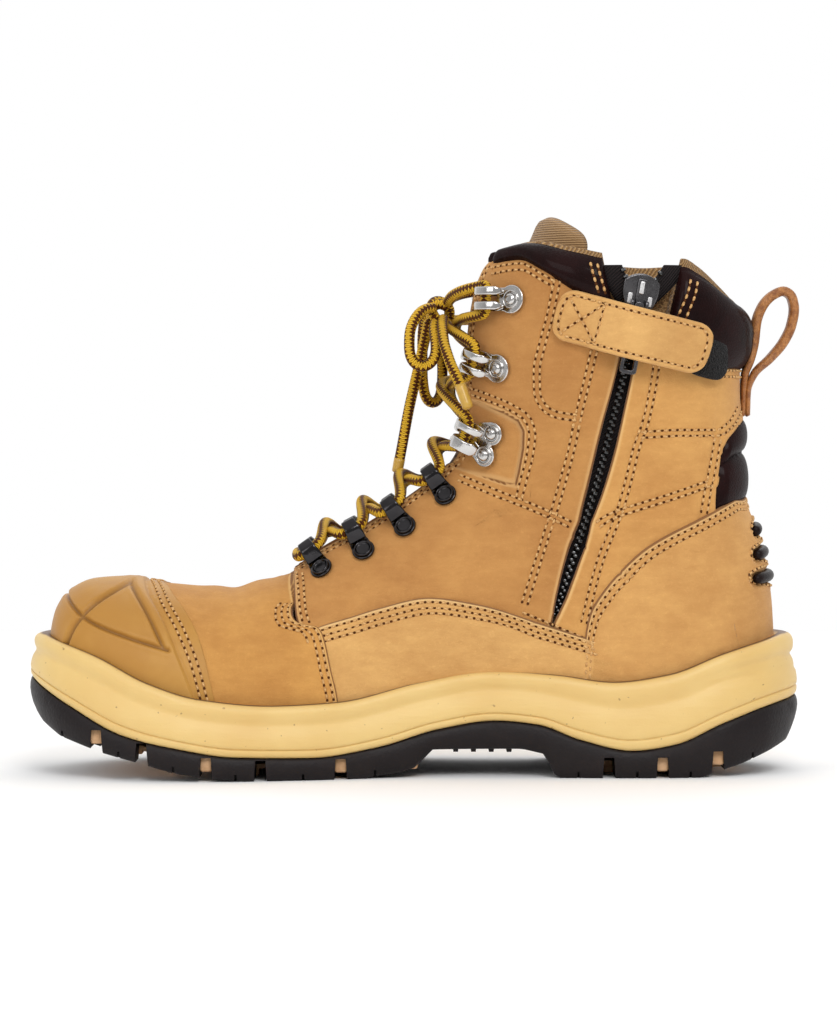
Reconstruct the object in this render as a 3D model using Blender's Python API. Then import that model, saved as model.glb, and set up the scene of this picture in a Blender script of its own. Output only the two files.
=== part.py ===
"""Zip-sided lace-up safety boot for the right foot, built as separate pieces around one last.

+X points to the toe, +Y to the inner (medial) side of the foot and +Z up. The floor is Z = 0.
Tables and sizes are in millimetres. Meshes are made in metres.
"""

import math
from functools import lru_cache

import bmesh
import bpy
import numpy as np
from mathutils import Matrix, Vector

MM = 0.001
MEDIAL, LATERAL = 1, -1
SIDES = {"medial": MEDIAL, "lateral": LATERAL}

# Driving sizes
SOLE_LENGTH = 308.0
FEATHER_INSET = 10.5      # from the sole's edge in to the upper's wall
WALL = 2.4                # leather and lining of the upper
SEAT_GAP = 0.45           # between curved pieces that lie on each other
POCKET_GAP = 1.0          # between the upper and the midsole's cup
OVERLAY = 1.3             # leather of the panels sewn over the upper
BUMPER = 2.4              # moulded toe bumper
TONGUE = 4.0
LACE_RADIUS = 2.3
SOLE_COLUMNS = 42         # facets round the sole and along the foot

# Plan outline of the sole at its widest: middle line and half width at each station
SOLE_PLAN = np.array([
    # x, centre, half
    (-154.0, 0.0, 0.0),
    (-148.0, 0.0, 20.0),
    (-138.0, 0.0, 31.0),
    (-120.0, 0.0, 39.0),
    (-95.0, 0.3, 42.6),
    (-60.0, -0.3, 42.8),
    (-25.0, -2.3, 42.0),
    (10.0, -3.2, 46.0),
    (45.0, -2.0, 54.0),
    (75.0, 0.5, 57.0),
    (100.0, 3.0, 55.0),
    (122.0, 5.0, 47.5),
    (138.0, 6.5, 37.0),
    (148.0, 7.5, 24.0),
    (154.0, 8.0, 0.0),
])

PLAN_MIDDLE = 0.72        # brings the widest points to the same distance on both sides

# Side lines of the sole, from heel to toe
TREAD = np.array([
    # x, z of the walking surface
    (-154.0, 22.0), (-148.0, 13.0), (-140.0, 9.5), (-129.0, 5.2), (-112.0, 0.0), (-58.0, 0.0),
    (-55.0, 0.6), (-51.0, 9.3), (-42.0, 11.3), (-7.0, 11.0), (0.0, 4.0), (6.0, 2.0), (22.0, 0.0),
    (66.0, 0.0), (82.0, 1.4), (94.0, 3.5), (106.0, 6.9), (121.0, 10.6), (139.0, 16.5), (147.0, 21.5),
    (154.0, 29.0),
])
OUTSOLE_EDGE = np.array([
    # x, z where rubber meets the midsole
    (-154.0, 30.5), (-140.0, 27.5), (-121.0, 21.0), (-102.0, 13.0), (-85.0, 10.6), (-65.0, 14.8),
    (-48.0, 20.8), (-32.0, 22.2), (-9.0, 18.8), (15.0, 12.0), (40.0, 8.6), (70.0, 9.3), (94.0, 13.0),
    (114.0, 17.8), (135.0, 28.5), (154.0, 39.0),
])
LIP = np.array([
    # x, z of the midsole's upper edge
    (-146.0, 55.3), (-122.0, 48.5), (-100.0, 40.5), (-78.0, 37.5), (-55.0, 40.3), (-30.0, 41.8),
    (-2.0, 37.3), (30.0, 30.0), (55.0, 29.0), (84.0, 31.8), (104.0, 38.0), (125.0, 48.4), (146.0, 55.5),
])
# Sections of the last, from the toe over the instep and up the shaft. Each is a plane from a point on
# the front line down to a point on the feather line or the back line.
SECTION_COLUMNS = ("front_x", "front_z", "back_x", "back_z", "centre", "medial", "lateral", "widest", "crown")
SECTIONS = {
    "toe tip": (142.5, 42.0, 142.5, 42.0, 7.0, 0.0, 0.0, 0.80, 2.5),
    "toe wall": (142.6, 54.0, 139.0, 40.6, 7.0, 0.0, 0.0, 0.80, 2.5),
    "toe rise": (141.2, 63.0, 133.0, 38.2, 6.5, 0.0, 0.0, 0.80, 2.5),
    "toe top": (136.8, 69.8, 124.0, 34.6, 6.0, 0.0, 0.0, 0.80, 2.5),
    "cap": (128.0, 74.0, 112.0, 30.1, 5.0, 0.0, 0.0, 0.80, 2.4),
    "cap back": (114.0, 74.8, 99.0, 25.2, 4.0, 0.0, 0.0, 0.80, 2.2),
    "toes": (97.0, 73.0, 84.0, 21.8, 3.0, 0.0, 0.0, 0.80, 2.1),
    "ball": (78.0, 71.6, 68.0, 19.5, 2.0, 30.0, 30.0, 0.80, 2.0),
    "vamp": (62.0, 74.0, 52.0, 19.1, 1.5, 35.0, 37.0, 0.78, 2.0),
    "throat": (50.0, 78.5, 36.0, 19.5, 1.0, 36.0, 38.0, 0.75, 2.0),
    "low lacing": (36.0, 91.5, 12.0, 21.4, 1.0, 34.0, 37.0, 0.72, 1.95),
    "instep": (21.8, 100.0, -18.0, 27.3, 0.5, 34.0, 36.5, 0.70, 1.9),
    "high instep": (5.3, 111.4, -52.0, 28.3, 0.0, 35.0, 36.0, 0.65, 1.9),
    "heel girth": (-9.8, 124.2, -100.0, 28.1, 0.0, 35.0, 35.5, 0.60, 1.9),
    "heel point": (-13.5, 131.0, -143.5, 33.0, 0.0, 35.8, 35.8, 0.57, 1.95),
    "counter": (-14.5, 139.0, -142.2, 66.0, 0.0, 36.4, 36.4, 0.54, 2.0),
    "counter top": (-15.8, 148.6, -138.0, 90.0, 0.0, 37.5, 37.5, 0.50, 2.0),
    "ankle": (-17.8, 160.6, -131.6, 111.0, 0.0, 39.0, 39.0, 0.50, 2.0),
    "shaft": (-18.4, 174.0, -130.8, 138.0, 0.0, 41.0, 41.0, 0.50, 2.0),
    "shaft top": (-20.5, 189.0, -130.8, 162.0, 0.0, 42.5, 42.5, 0.50, 2.0),
    "collar": (-24.0, 200.0, -131.4, 180.0, 0.0, 43.5, 43.5, 0.50, 2.0),
    "collar top": (-31.0, 208.5, -131.0, 196.0, 0.0, 44.0, 44.0, 0.50, 2.0),
    "tongue top": (-40.0, 229.0, -129.5, 222.0, 0.0, 44.0, 44.0, 0.50, 2.0),
}
BACK_CURVE = 2.2          # roundness of the heel and of the shaft's back
ROW = {name: index for index, name in enumerate(SECTIONS)}
LAST_ROW = len(SECTIONS) - 1

# The upper's lower edge inside the cup: x and z of the sections' lower ends, from heel to toe
FEATHER = np.array([row[2:4] for row in SECTIONS.values()])[ROW["heel point"]::-1]

# Half the opening of the throat, measured along the leather from the middle
THROAT_GAP = np.array([
    # row, gap
    (9.0, 0.0), (9.3, 7.0), (10.0, 9.0), (12.0, 10.0), (15.0, 11.0), (20.0, 13.0), (22.0, 14.0),
])

# Edges of the panels, as they show from the side
LEATHER_TOP = np.array([
    # x, z
    (-131.0, 163.0), (-124.0, 163.0), (-112.0, 165.5), (-95.0, 174.0), (-80.0, 182.5), (-62.0, 192.0),
    (-50.0, 199.0), (-40.0, 203.8), (-31.0, 203.5), (-20.0, 195.0),
])
COLLAR_TOP = np.array([
    # x, z
    (-136.0, 180.0), (-130.0, 184.5), (-122.0, 191.5), (-112.0, 198.4), (-106.0, 201.0), (-99.0, 200.5),
    (-79.0, 202.5), (-60.0, 207.2), (-44.0, 210.9), (-37.0, 209.5), (-28.0, 203.5),
])
BUMPER_EDGE = np.array([
    # z, x
    (32.4, 78.4), (46.0, 82.4), (58.8, 89.3), (69.0, 97.5), (78.0, 104.5),
])
WING_TOP = np.array([
    # x, z of the low panel's upper edge
    (-70.0, 54.0), (-48.8, 60.3), (-25.4, 67.4), (-5.9, 70.1), (13.7, 65.4), (33.2, 57.6), (46.0, 54.5),
    (54.0, 60.0),
])
COUNTER_EDGE = np.array([
    # z, x
    (40.6, -66.5), (58.2, -68.4), (73.8, -74.3), (87.5, -88.0), (99.3, -111.4), (109.5, -131.5),
])
ZIP_LINE = np.array([
    # z, x
    (58.0, -53.4), (75.7, -58.7), (101.2, -65.4), (128.6, -72.4), (157.9, -82.0), (191.0, -88.1),
    (204.0, -90.0),
])

# Colour, roughness and metallic value of each finish
FINISHES = {
    "nubuck": ((0.62, 0.36, 0.13), 0.85, 0.0),
    "bumper": ((0.56, 0.33, 0.10), 0.55, 0.0),
    "midsole foam": ((0.82, 0.62, 0.26), 0.6, 0.0),
    "rubber": ((0.035, 0.026, 0.025), 0.6, 0.0),
    "tan rubber": ((0.45, 0.25, 0.09), 0.7, 0.0),
    "padded leather": ((0.035, 0.014, 0.012), 0.35, 0.0),
    "textile": ((0.30, 0.19, 0.08), 0.95, 0.0),
    "zip": ((0.01, 0.01, 0.012), 0.5, 0.0),
    "dark nickel": ((0.12, 0.12, 0.13), 0.25, 1.0),
    "bright nickel": ((0.62, 0.62, 0.63), 0.2, 1.0),
    "lace": ((0.55, 0.33, 0.05), 0.8, 0.0),
}


def clear_scene():
    for obj in list(bpy.data.objects):
        bpy.data.objects.remove(obj)


def finish(name):
    """The material of that name, made the first time it is asked for."""
    found = bpy.data.materials.get(name)
    if found:
        return found
    colour, roughness, metallic = FINISHES[name]
    made = bpy.data.materials.new(name)
    made.use_nodes = True
    shader = made.node_tree.nodes["Principled BSDF"]
    shader.inputs["Base Color"].default_value = (*colour, 1.0)
    shader.inputs["Roughness"].default_value = roughness
    shader.inputs["Metallic"].default_value = metallic
    return made


def add_object(name, mesh, finish_name):
    obj = bpy.data.objects.new(name, mesh)
    bpy.context.scene.collection.objects.link(obj)
    if finish_name:
        obj.data.materials.append(finish(finish_name))
    else:
        obj.hide_render = True
        obj.display_type = "WIRE"
    return obj


def object_from(bm, name, finish_name, crease_deg=40):
    """An object from a bmesh in millimetres. With no finish it is a hidden cutter."""
    bmesh.ops.recalc_face_normals(bm, faces=bm.faces)
    bmesh.ops.scale(bm, vec=(MM, MM, MM), verts=bm.verts)
    mesh = bpy.data.meshes.new(name)
    bm.to_mesh(mesh)
    bm.free()
    mesh.shade_smooth()
    mesh.set_sharp_from_angle(angle=math.radians(crease_deg))
    return add_object(name, mesh, finish_name)


def combine(obj, other, operation):
    modifier = obj.modifiers.new(other.name, "BOOLEAN")
    modifier.operation = operation
    modifier.object = other


# Curves of the last

def smooth(at, knots, values):
    """A curve through the values that never overshoots them, read at one or more places."""
    knots, values = np.asarray(knots, float), np.asarray(values, float)
    at = np.clip(at, knots[0], knots[-1])
    step = np.diff(knots)
    slope = np.diff(values) / step
    product = slope[:-1] * slope[1:]
    total = np.where(product > 0, slope[:-1] + slope[1:], 1.0)
    tangent = np.concatenate([[slope[0]], np.where(product > 0, 2 * product / total, 0.0), [slope[-1]]])
    i = np.clip(np.searchsorted(knots, at) - 1, 0, len(step) - 1)
    h = step[i]
    u = (at - knots[i]) / h
    rise = u * u * (3 - 2 * u)
    lean = h * u * (1 - u) * (tangent[i] * (1 - u) - tangent[i + 1] * u)
    return values[i] + (values[i + 1] - values[i]) * rise + lean


def line(table, at):
    return smooth(at, table[:, 0], table[:, 1])


def sole_edge(x):
    """(centre, half width) of the sole's outline at x."""
    centre = smooth(x, SOLE_PLAN[:, 0], SOLE_PLAN[:, 1]) - PLAN_MIDDLE
    half = np.sqrt(np.maximum(smooth(x, SOLE_PLAN[:, 0], SOLE_PLAN[:, 2] ** 2), 0.0))
    return centre, half


def outline(count):
    """Points and outward normals round the sole: heel, medial side, toe, lateral side."""
    turn = np.linspace(0, math.pi, count // 2 + 1)
    x = -SOLE_LENGTH / 2 * np.cos(turn)
    centre, half = sole_edge(x)
    medial = np.stack([x, centre + half], axis=1)
    lateral = np.stack([x, centre - half], axis=1)[-2:0:-1]
    points = np.concatenate([medial, lateral])
    tangent = np.roll(points, -1, axis=0) - np.roll(points, 1, axis=0)
    tangent /= np.linalg.norm(tangent, axis=1)[:, None]
    normals = np.stack([-tangent[:, 1], tangent[:, 0]], axis=1)
    return points, normals


def feather_halves():
    """Tables of x and y of the upper's lower edge, medial and lateral."""
    points, normals = outline(400)
    inset = points - normals * FEATHER_INSET
    half = len(points) // 2
    lateral = np.concatenate([inset[half:], inset[:1]])[::-1]
    return {MEDIAL: inset[:half + 1], LATERAL: lateral}


FEATHER_PLAN = feather_halves()


@lru_cache(maxsize=None)
def section(row):
    """The section's values by name at a fractional row."""
    rows = np.arange(LAST_ROW + 1)
    values = np.array(list(SECTIONS.values()))
    found = {}
    for index, name in enumerate(SECTION_COLUMNS):
        column = values[:, index]
        if name in SIDES:
            found[name] = math.sqrt(max(float(smooth(row, rows, column ** 2)), 0.0))
        else:
            found[name] = float(smooth(row, rows, column))
    found["centre"] -= PLAN_MIDDLE
    if row <= ROW["heel point"]:
        found["back_z"] = float(line(FEATHER, found["back_x"]))
    return found


@lru_cache(maxsize=None)
def arc(row, side, count=64):
    """One half of a section from the front line to its base: share of its length, depth and points."""
    s = section(row)
    plan = FEATHER_PLAN[side]
    foot = 0.0
    if row <= ROW["heel point"]:
        foot = max(side * (np.interp(s["back_x"], plan[:, 0], plan[:, 1]) - s["centre"]), 0.0)
    girth = s["medial"] if side == MEDIAL else s["lateral"]
    wide = (girth ** 8 + foot ** 8) ** 0.125
    turn = np.linspace(0, math.pi / 2, count)
    front = s["widest"] * (1 - np.cos(turn))
    rise = wide * (1 - np.cos(turn) ** s["crown"]) ** (1 / s["crown"])
    close = (1 - (foot / wide) ** BACK_CURVE) ** (1 / BACK_CURVE) if wide > 0 else 0.0
    behind = np.sin(turn[1:])
    back = s["widest"] + (1 - s["widest"]) * behind
    fall = wide * np.maximum(1 - (close * behind) ** BACK_CURVE, 0.0) ** (1 / BACK_CURVE)
    depth = np.concatenate([front, back])
    reach = np.concatenate([rise, fall])
    points = np.stack([
        s["front_x"] + depth * (s["back_x"] - s["front_x"]),
        s["centre"] + side * reach,
        s["front_z"] + depth * (s["back_z"] - s["front_z"]),
    ], axis=1)
    along = np.concatenate([[0], np.cumsum(np.linalg.norm(np.diff(points, axis=0), axis=1))])
    return along, depth, points


def place(row, share, side):
    """The point of the last at a row and a share of the way from the front line to the base."""
    along, _, points = arc(row, side)
    at = share * along[-1]
    return np.array([np.interp(at, along, points[:, k]) for k in range(3)])


def share_of(row, side, distance):
    return distance / arc(row, side)[0][-1]


def crossing(function, low, high):
    """Where the function changes sign between low and high. Without a change it is the nearer end."""
    start = function(low) > 0
    if (function(high) > 0) == start:
        return high
    for _ in range(18):
        middle = (low + high) / 2
        if (function(middle) > 0) == start:
            low = middle
        else:
            high = middle
    return (low + high) / 2


def row_at_side(x, z):
    """The row whose plane passes through a point of the side view."""
    def left_of(row):
        s = section(row)
        return ((s["back_x"] - s["front_x"]) * (z - s["front_z"])
                - (s["back_z"] - s["front_z"]) * (x - s["front_x"]))
    return crossing(left_of, 1.0, float(LAST_ROW))


def on_side(x, z, side, lift=0.0):
    """(point, outward normal) of the last at a place of the side view, raised off it by lift."""
    def reach(px, pz):
        row = row_at_side(px, pz)
        s = section(row)
        span = np.array([s["back_x"] - s["front_x"], s["back_z"] - s["front_z"]])
        depth = ((px - s["front_x"]) * span[0] + (pz - s["front_z"]) * span[1]) / (span @ span)
        _, depths, points = arc(row, side)
        return float(np.interp(depth, depths, points[:, 1]))
    probe = 0.8
    y = reach(x, z)
    normal = Vector((
        -(reach(x + probe, z) - reach(x - probe, z)) / (2 * probe) * side,
        side,
        -(reach(x, z + probe) - reach(x, z - probe)) / (2 * probe) * side,
    ))
    normal.y = abs(normal.y) * side
    normal.normalize()
    return Vector((x, y, z)) + normal * lift, normal


# Shells on the last

def add_grid(bm, rows):
    """Quads between rows of points."""
    made = [[bm.verts.new(p) for p in row] for row in rows]
    for above, below in zip(made, made[1:]):
        for a, b, c, d in zip(above, above[1:], below[1:], below):
            bm.faces.new((a, b, c, d))


def sewn(bm):
    """Closes the seams of a surface and turns its faces outwards from the last's middle."""
    bmesh.ops.remove_doubles(bm, verts=bm.verts, dist=0.02)
    bmesh.ops.dissolve_degenerate(bm, edges=bm.edges, dist=0.01)
    bmesh.ops.recalc_face_normals(bm, faces=bm.faces)
    outward = 0.0
    for face in bm.faces:
        spot = face.calc_center_median()
        core = Vector((max(min(spot.x - 25.0, 120.0), -75.0), 0.0, min(spot.z - 25.0, 60.0)))
        outward += face.calc_area() * face.normal.dot(spot - core)
    if outward < 0:
        bmesh.ops.reverse_faces(bm, faces=bm.faces)
    bm.normal_update()


def thicken(bm, inner, outer):
    """A closed wall between two offsets of a surface. An offset is a number or a function of the vertex."""
    def offset(vert, by):
        return vert.co + vert.normal * (by(vert) if callable(by) else by)
    wall = bmesh.new()
    outside = {v: wall.verts.new(offset(v, outer)) for v in bm.verts}
    inside = {v: wall.verts.new(offset(v, inner)) for v in bm.verts}
    for face in bm.faces:
        wall.faces.new([outside[v] for v in face.verts])
        wall.faces.new([inside[v] for v in reversed(face.verts)])
        for loop in face.loops:
            if len(loop.edge.link_faces) == 1:
                a, b = loop.vert, loop.link_loop_next.vert
                wall.faces.new((outside[b], outside[a], inside[a], inside[b]))
    bm.free()
    return wall


def upper_share(row, fraction, side):
    """Share of a section for a fraction of the leather that is there, beside the throat's opening."""
    start = share_of(row, side, float(np.interp(row, THROAT_GAP[:, 0], THROAT_GAP[:, 1])))
    return start + (1 - start) * fraction


def foot_rows():
    """Rows of the foot part, each in line with a column of the sole."""
    points, normals = outline(SOLE_COLUMNS)
    inset = (points - normals * FEATHER_INSET)[:SOLE_COLUMNS // 2 + 1]
    heel = float(ROW["heel point"])
    inner = [crossing(lambda r: section(r)["back_x"] - x, 0.0, heel) for x in inset[1:-1, 0]]
    return sorted([0.0, heel, float(ROW["throat"]), ROW["throat"] + 0.3] + inner)


@lru_cache(maxsize=None)
def upper_lines():
    """Lines of points up the outside of the upper, for each side."""
    columns = 9
    heel = float(ROW["heel point"])
    foot = foot_rows()
    shaft = np.array([0.06, 0.15, 0.28, 0.45, 0.62, 0.8, 1.0])
    found = {}
    for side in SIDES.values():
        found[side] = []
        for fraction in np.linspace(0, 1, columns):
            def under(row):
                point = place(row, upper_share(row, fraction, side), side)
                return line(LEATHER_TOP, point[0]) - point[2]
            top = crossing(under, float(ROW["ankle"]), float(LAST_ROW))
            rows = foot + list(heel + (top - heel) * shaft)
            found[side].append([place(r, upper_share(r, fraction, side), side) for r in rows])
    return found


def upper_surface():
    bm = bmesh.new()
    for lines in upper_lines().values():
        add_grid(bm, lines)
    sewn(bm)
    return bm


def upper():
    """The whole upper as one hollow wall, open at collar, throat, zip and underneath."""
    obj = object_from(thicken(upper_surface(), -WALL, 0.0), "upper", "nubuck")
    combine(obj, zip_slit(), "DIFFERENCE")


def panel(name, side_outline, thickness, finish_name):
    """A piece sewn on the upper: a raised layer of its surface inside an outline of the side view."""
    layer = thicken(upper_surface(), SEAT_GAP, SEAT_GAP + thickness)
    obj = object_from(layer, name, finish_name)
    bm = bmesh.new()
    reach = 90.0
    loops = [[bm.verts.new((x, y, z)) for x, z in side_outline] for y in (-reach, reach)]
    for i in range(len(side_outline)):
        j = (i + 1) % len(side_outline)
        bm.faces.new((loops[0][i], loops[0][j], loops[1][j], loops[1][i]))
    bm.faces.new(loops[0])
    bm.faces.new(loops[1])
    combine(obj, object_from(bm, name + "_outline", None), "INTERSECT")
    return obj


def zip_slit():
    """Hidden cutter for the slit that the zip closes, narrow at its foot."""
    bm = bmesh.new()
    depth = (15.0, 75.0)
    heights = (62.0, 80.0, 120.0, 160.0, 215.0)
    halves = (0.6, 2.7, 3.2, 3.4, 3.6)
    loops = []
    for z, half in zip(heights, halves):
        x = line(ZIP_LINE, z)
        loops.append([bm.verts.new((x + dx, y, z)) for dx, y in (
            (-half, depth[0]), (half, depth[0]), (half, depth[1]), (-half, depth[1]))])
    for low, high in zip(loops, loops[1:]):
        for i in range(4):
            bm.faces.new((low[i], low[(i + 1) % 4], high[(i + 1) % 4], high[i]))
    bm.faces.new(loops[0])
    bm.faces.new(loops[-1])
    return object_from(bm, "slit_cutter", None)


# Sole

def ring(inset, height):
    """Points of a ring round the sole. The height is a function of each point's x."""
    points, normals = outline(SOLE_COLUMNS)
    flat = points - normals * np.asarray(inset).reshape(-1, 1)
    return [Vector((x, y, float(height(x)))) for x, y in flat]


def cap_faces(bm, loop):
    """Quads from the medial to the lateral side of a ring that starts at the heel."""
    half = len(loop) // 2
    pairs = [(loop[i], loop[-i]) for i in range(1, half)]
    bm.faces.new((loop[0], *pairs[0]))
    for (a, b), (c, d) in zip(pairs, pairs[1:]):
        bm.faces.new((a, c, d, b))
    bm.faces.new((pairs[-1][0], loop[half], pairs[-1][1]))


def stacked(rings):
    """A closed solid through rings of points, capped at both ends."""
    bm = bmesh.new()
    loops = [[bm.verts.new(p) for p in ring_points] for ring_points in rings]
    for low, high in zip(loops, loops[1:]):
        for i in range(len(low)):
            j = (i + 1) % len(low)
            bm.faces.new((low[i], low[j], high[j], high[i]))
    cap_faces(bm, loops[0])
    cap_faces(bm, loops[-1])
    return bm


def tread_z(x):
    return np.interp(x, TREAD[:, 0], TREAD[:, 1])


def outsole_z(x):
    return line(OUTSOLE_EDGE, x)


LUG_DEPTH = 6.2           # from the walking surface up to the web between the lugs
LUG_GROOVE = 4.6
LUG_BAND = 19.0           # width of the dark lugs round the edge
FOREFOOT_TREAD = (14.0, 124.0)
HEEL_TREAD = (-132.0, -70.0)
FOREFOOT_GROOVES = (124.0, 106.0, 81.0, 60.0, 29.0)
HEEL_GROOVES = (-76.0, -97.0, -119.0)


def bar(bm, centre, size):
    matrix = Matrix.Translation(centre) @ Matrix.Diagonal((*size, 1.0))
    return bmesh.ops.create_cube(bm, size=1.0, matrix=matrix)["verts"]


def tread_recess(name, span, inset, low, high, finish_name):
    """A plate with the sole's outline inside the edge lugs, between two heights over the walking surface."""
    bm = bmesh.new()
    stations = np.linspace(*span, 12)
    loops = []
    for x in stations:
        centre, half = sole_edge(x)
        reach = max(half - inset, 5.0)
        z = float(tread_z(x))
        loops.append([bm.verts.new(p) for p in (
            (x, centre - reach, z + low), (x, centre + reach, z + low),
            (x, centre + reach, z + high), (x, centre - reach, z + high))])
    for a, b in zip(loops, loops[1:]):
        for i in range(4):
            bm.faces.new((a[i], a[(i + 1) % 4], b[(i + 1) % 4], b[i]))
    bm.faces.new(loops[0])
    bm.faces.new(loops[-1])
    return object_from(bm, name, finish_name)


def groove_cutter():
    """Hidden cutter for the gaps between the edge lugs, on both sides."""
    bm = bmesh.new()
    depth = 2 * LUG_DEPTH
    for x in FOREFOOT_GROOVES + HEEL_GROOVES:
        centre, half = sole_edge(x)
        for side in SIDES.values():
            y = centre + side * (half - LUG_BAND / 2 + 6.0)
            z = float(tread_z(x)) + LUG_DEPTH - depth / 2
            bar(bm, (x, y, z), (LUG_GROOVE, LUG_BAND + 16.0, depth))
    return object_from(bm, "groove_cutter", None)


def outsole():
    """Rubber outsole: a web with heel breast, arch and toe spring, and lugs round its edge."""
    rings = [
        ring(2.2, tread_z),
        ring(0.6, lambda x: tread_z(x) + 2.6),
        ring(0.0, lambda x: (tread_z(x) + outsole_z(x)) / 2),
        ring(1.6, outsole_z),
    ]
    obj = object_from(stacked(rings), "outsole", "rubber", 30)
    low = -20.0
    for name, span in (("forefoot_cutter", FOREFOOT_TREAD), ("heel_cutter", HEEL_TREAD)):
        combine(obj, tread_recess(name, span, LUG_BAND, low, LUG_DEPTH, None), "DIFFERENCE")
    combine(obj, groove_cutter(), "DIFFERENCE")


def tread_insert(name, span, ribs):
    """Tan centre of the tread: a thin plate under the web with bars across it."""
    web = 1.8
    edge = LUG_BAND + 0.8
    inner = (span[0] + 0.8, span[1] - 0.8)
    plate = tread_recess(name, inner, edge, LUG_DEPTH - 1.0 - web, LUG_DEPTH - 1.0, "tan rubber")
    bm = bmesh.new()
    for x in ribs:
        _, half = sole_edge(x)
        centre, _ = sole_edge(x)
        low = float(tread_z(x)) + 0.4
        height = LUG_DEPTH - 1.8
        bar(bm, (x, centre, low + height / 2), (9.0, 2 * (half - edge) - 5.0, height))
    combine(plate, object_from(bm, name + "_ribs", None), "UNION")


@lru_cache(maxsize=None)
def low_wall():
    """Points spread over the lower part of the upper's wall."""
    rows = np.linspace(0.05, ROW["counter"] + 0.5, 150)
    return np.array([place(r, share, side) for r in rows for share in np.linspace(0.6, 1, 24)
                     for side in SIDES.values()])


def cup_wall(drop):
    """Ring of the midsole's cup just outside the upper, at a share of the way down from lip to feather."""
    points, normals = outline(SOLE_COLUMNS)
    inset = points - normals * FEATHER_INSET
    wall = low_wall()
    found = []
    for (x, y), normal in zip(inset, normals):
        top, low = float(line(LIP, x)) - 0.6, float(line(FEATHER, x))
        z = top + (low - top) * drop
        offset = wall[:, :2] - (x, y)
        beside = np.abs(offset @ (-normal[1], normal[0]))
        near = (beside < 8.0) & (np.abs(wall[:, 2] - z) < 3.0) & (offset @ normal > -12.0)
        bulge = max(float((offset[near] @ normal).max()), 0.0) if near.any() else 0.0
        x, y = np.array((x, y)) + normal * (POCKET_GAP + bulge)
        found.append(Vector((x, y, z)))
    return found


def midsole():
    """Foam midsole cast round the upper: flared side with a parting groove, a waist and a rounded lip."""
    def between(share):
        return lambda x: outsole_z(x) + SEAT_GAP + share * (line(LIP, x) - outsole_z(x) - SEAT_GAP)
    cup = [cup_wall(drop) for drop in (0.0, 0.5, 1.0)]
    lip = [p + (q - p) * 0.45 + Vector((0, 0, 0.6)) for p, q in zip(cup[0], ring(2.6, between(0.96)))]
    rings = [
        ring(1.6, between(0.0)),
        ring(0.3, between(0.12)),
        ring(1.0, between(0.16)),
        ring(0.4, between(0.19)),
        ring(0.7, between(0.42)),
        ring(1.6, between(0.60)),
        ring(2.1, between(0.68)),
        ring(1.8, between(0.82)),
        ring(2.6, between(0.95)),
        lip,
        *cup,
    ]
    floor = [Vector((p.x, p.y, float(line(FEATHER, p.x)) - SEAT_GAP)) for p in cup[-1]]
    object_from(stacked(rings[:-1] + [floor]), "midsole", "midsole foam", 35)


def insole():
    """Footbed that closes the upper underneath."""
    thickness = 4.0
    edge = FEATHER_INSET + WALL + 3.0
    def low(x):
        return line(FEATHER, x) + 0.8
    rings = [ring(edge, low), ring(edge, lambda x: low(x) + thickness - 1.0),
             ring(edge + 1.5, lambda x: low(x) + thickness)]
    object_from(stacked(rings), "insole", "textile")


# Panels sewn over the upper

def lip_line(start, end, count=13):
    """Points just over the midsole's lip, between two places along the boot."""
    return [(x, float(line(LIP, x)) + 1.4) for x in np.linspace(start, end, count)]


def toe_bumper():
    """Moulded bumper over the toe, from the lip back to its sewn flange."""
    edge = [(x, z) for z, x in BUMPER_EDGE]
    over = [(108.0, 95.0), (165.0, 95.0), (165.0, 56.1)]
    panel("toe_bumper", edge + over + lip_line(146.0, edge[0][0] + 2.0), BUMPER, "bumper")


def vamp():
    """Vamp and its low wings, from the bumper's flange back to the counter."""
    part = 0.6
    front = [(x - part, z) for z, x in BUMPER_EDGE]
    throat = [(100.0, 95.0), (48.0, 95.0), (49.5, 78.0), (51.2, 66.0)]
    wing = [(x, z) for x, z in WING_TOP[::-1] if x > COUNTER_EDGE[0, 1] + part]
    back = [(x + part, z) for z, x in COUNTER_EDGE[1::-1]]
    panel("vamp", front + throat + wing + back + lip_line(back[-1][0], front[0][0] - 1.0), OVERLAY, "nubuck")


def counter():
    """Heel counter round the back, slotted for the flex ribs."""
    edge = [(x, z) for z, x in COUNTER_EDGE]
    behind = [(-165.0, 109.5), (-165.0, 55.9)]
    obj = panel("counter", edge + behind + lip_line(-146.0, edge[0][0] - 2.0), OVERLAY, "nubuck")
    for index in range(len(FLEX_RIBS)):
        combine(obj, flex_rib(f"slot_cutter_{index + 1}", index, RIB_RADIUS + 0.35, None), "DIFFERENCE")
        flex_rib(f"flex_rib_{index + 1}", index, RIB_RADIUS, "padded leather")


RIB_RADIUS = 1.6
FLEX_RIBS = np.array([
    # height at the back, drop at its ends, reach round each side
    (96.5, 2.0, 8.0), (87.0, 3.0, 11.0), (77.5, 4.0, 14.0),
])


def tube(bm, path, radius, sides=6):
    """A closed tube along a path of points, with flat ends."""
    path = [Vector(p) for p in path]
    loops = []
    for i, point in enumerate(path):
        ahead = (path[min(i + 1, len(path) - 1)] - path[max(i - 1, 0)]).normalized()
        across = ahead.cross(Vector((0.31, 0.2, 0.93))).normalized()
        other = ahead.cross(across)
        loops.append([bm.verts.new(point + radius * (math.cos(t) * across + math.sin(t) * other))
                      for t in np.arange(sides) * 2 * math.pi / sides])
    for a, b in zip(loops, loops[1:]):
        for i in range(sides):
            bm.faces.new((a[i], a[(i + 1) % sides], b[(i + 1) % sides], b[i]))
    bm.faces.new(loops[0])
    bm.faces.new(loops[-1])


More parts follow.
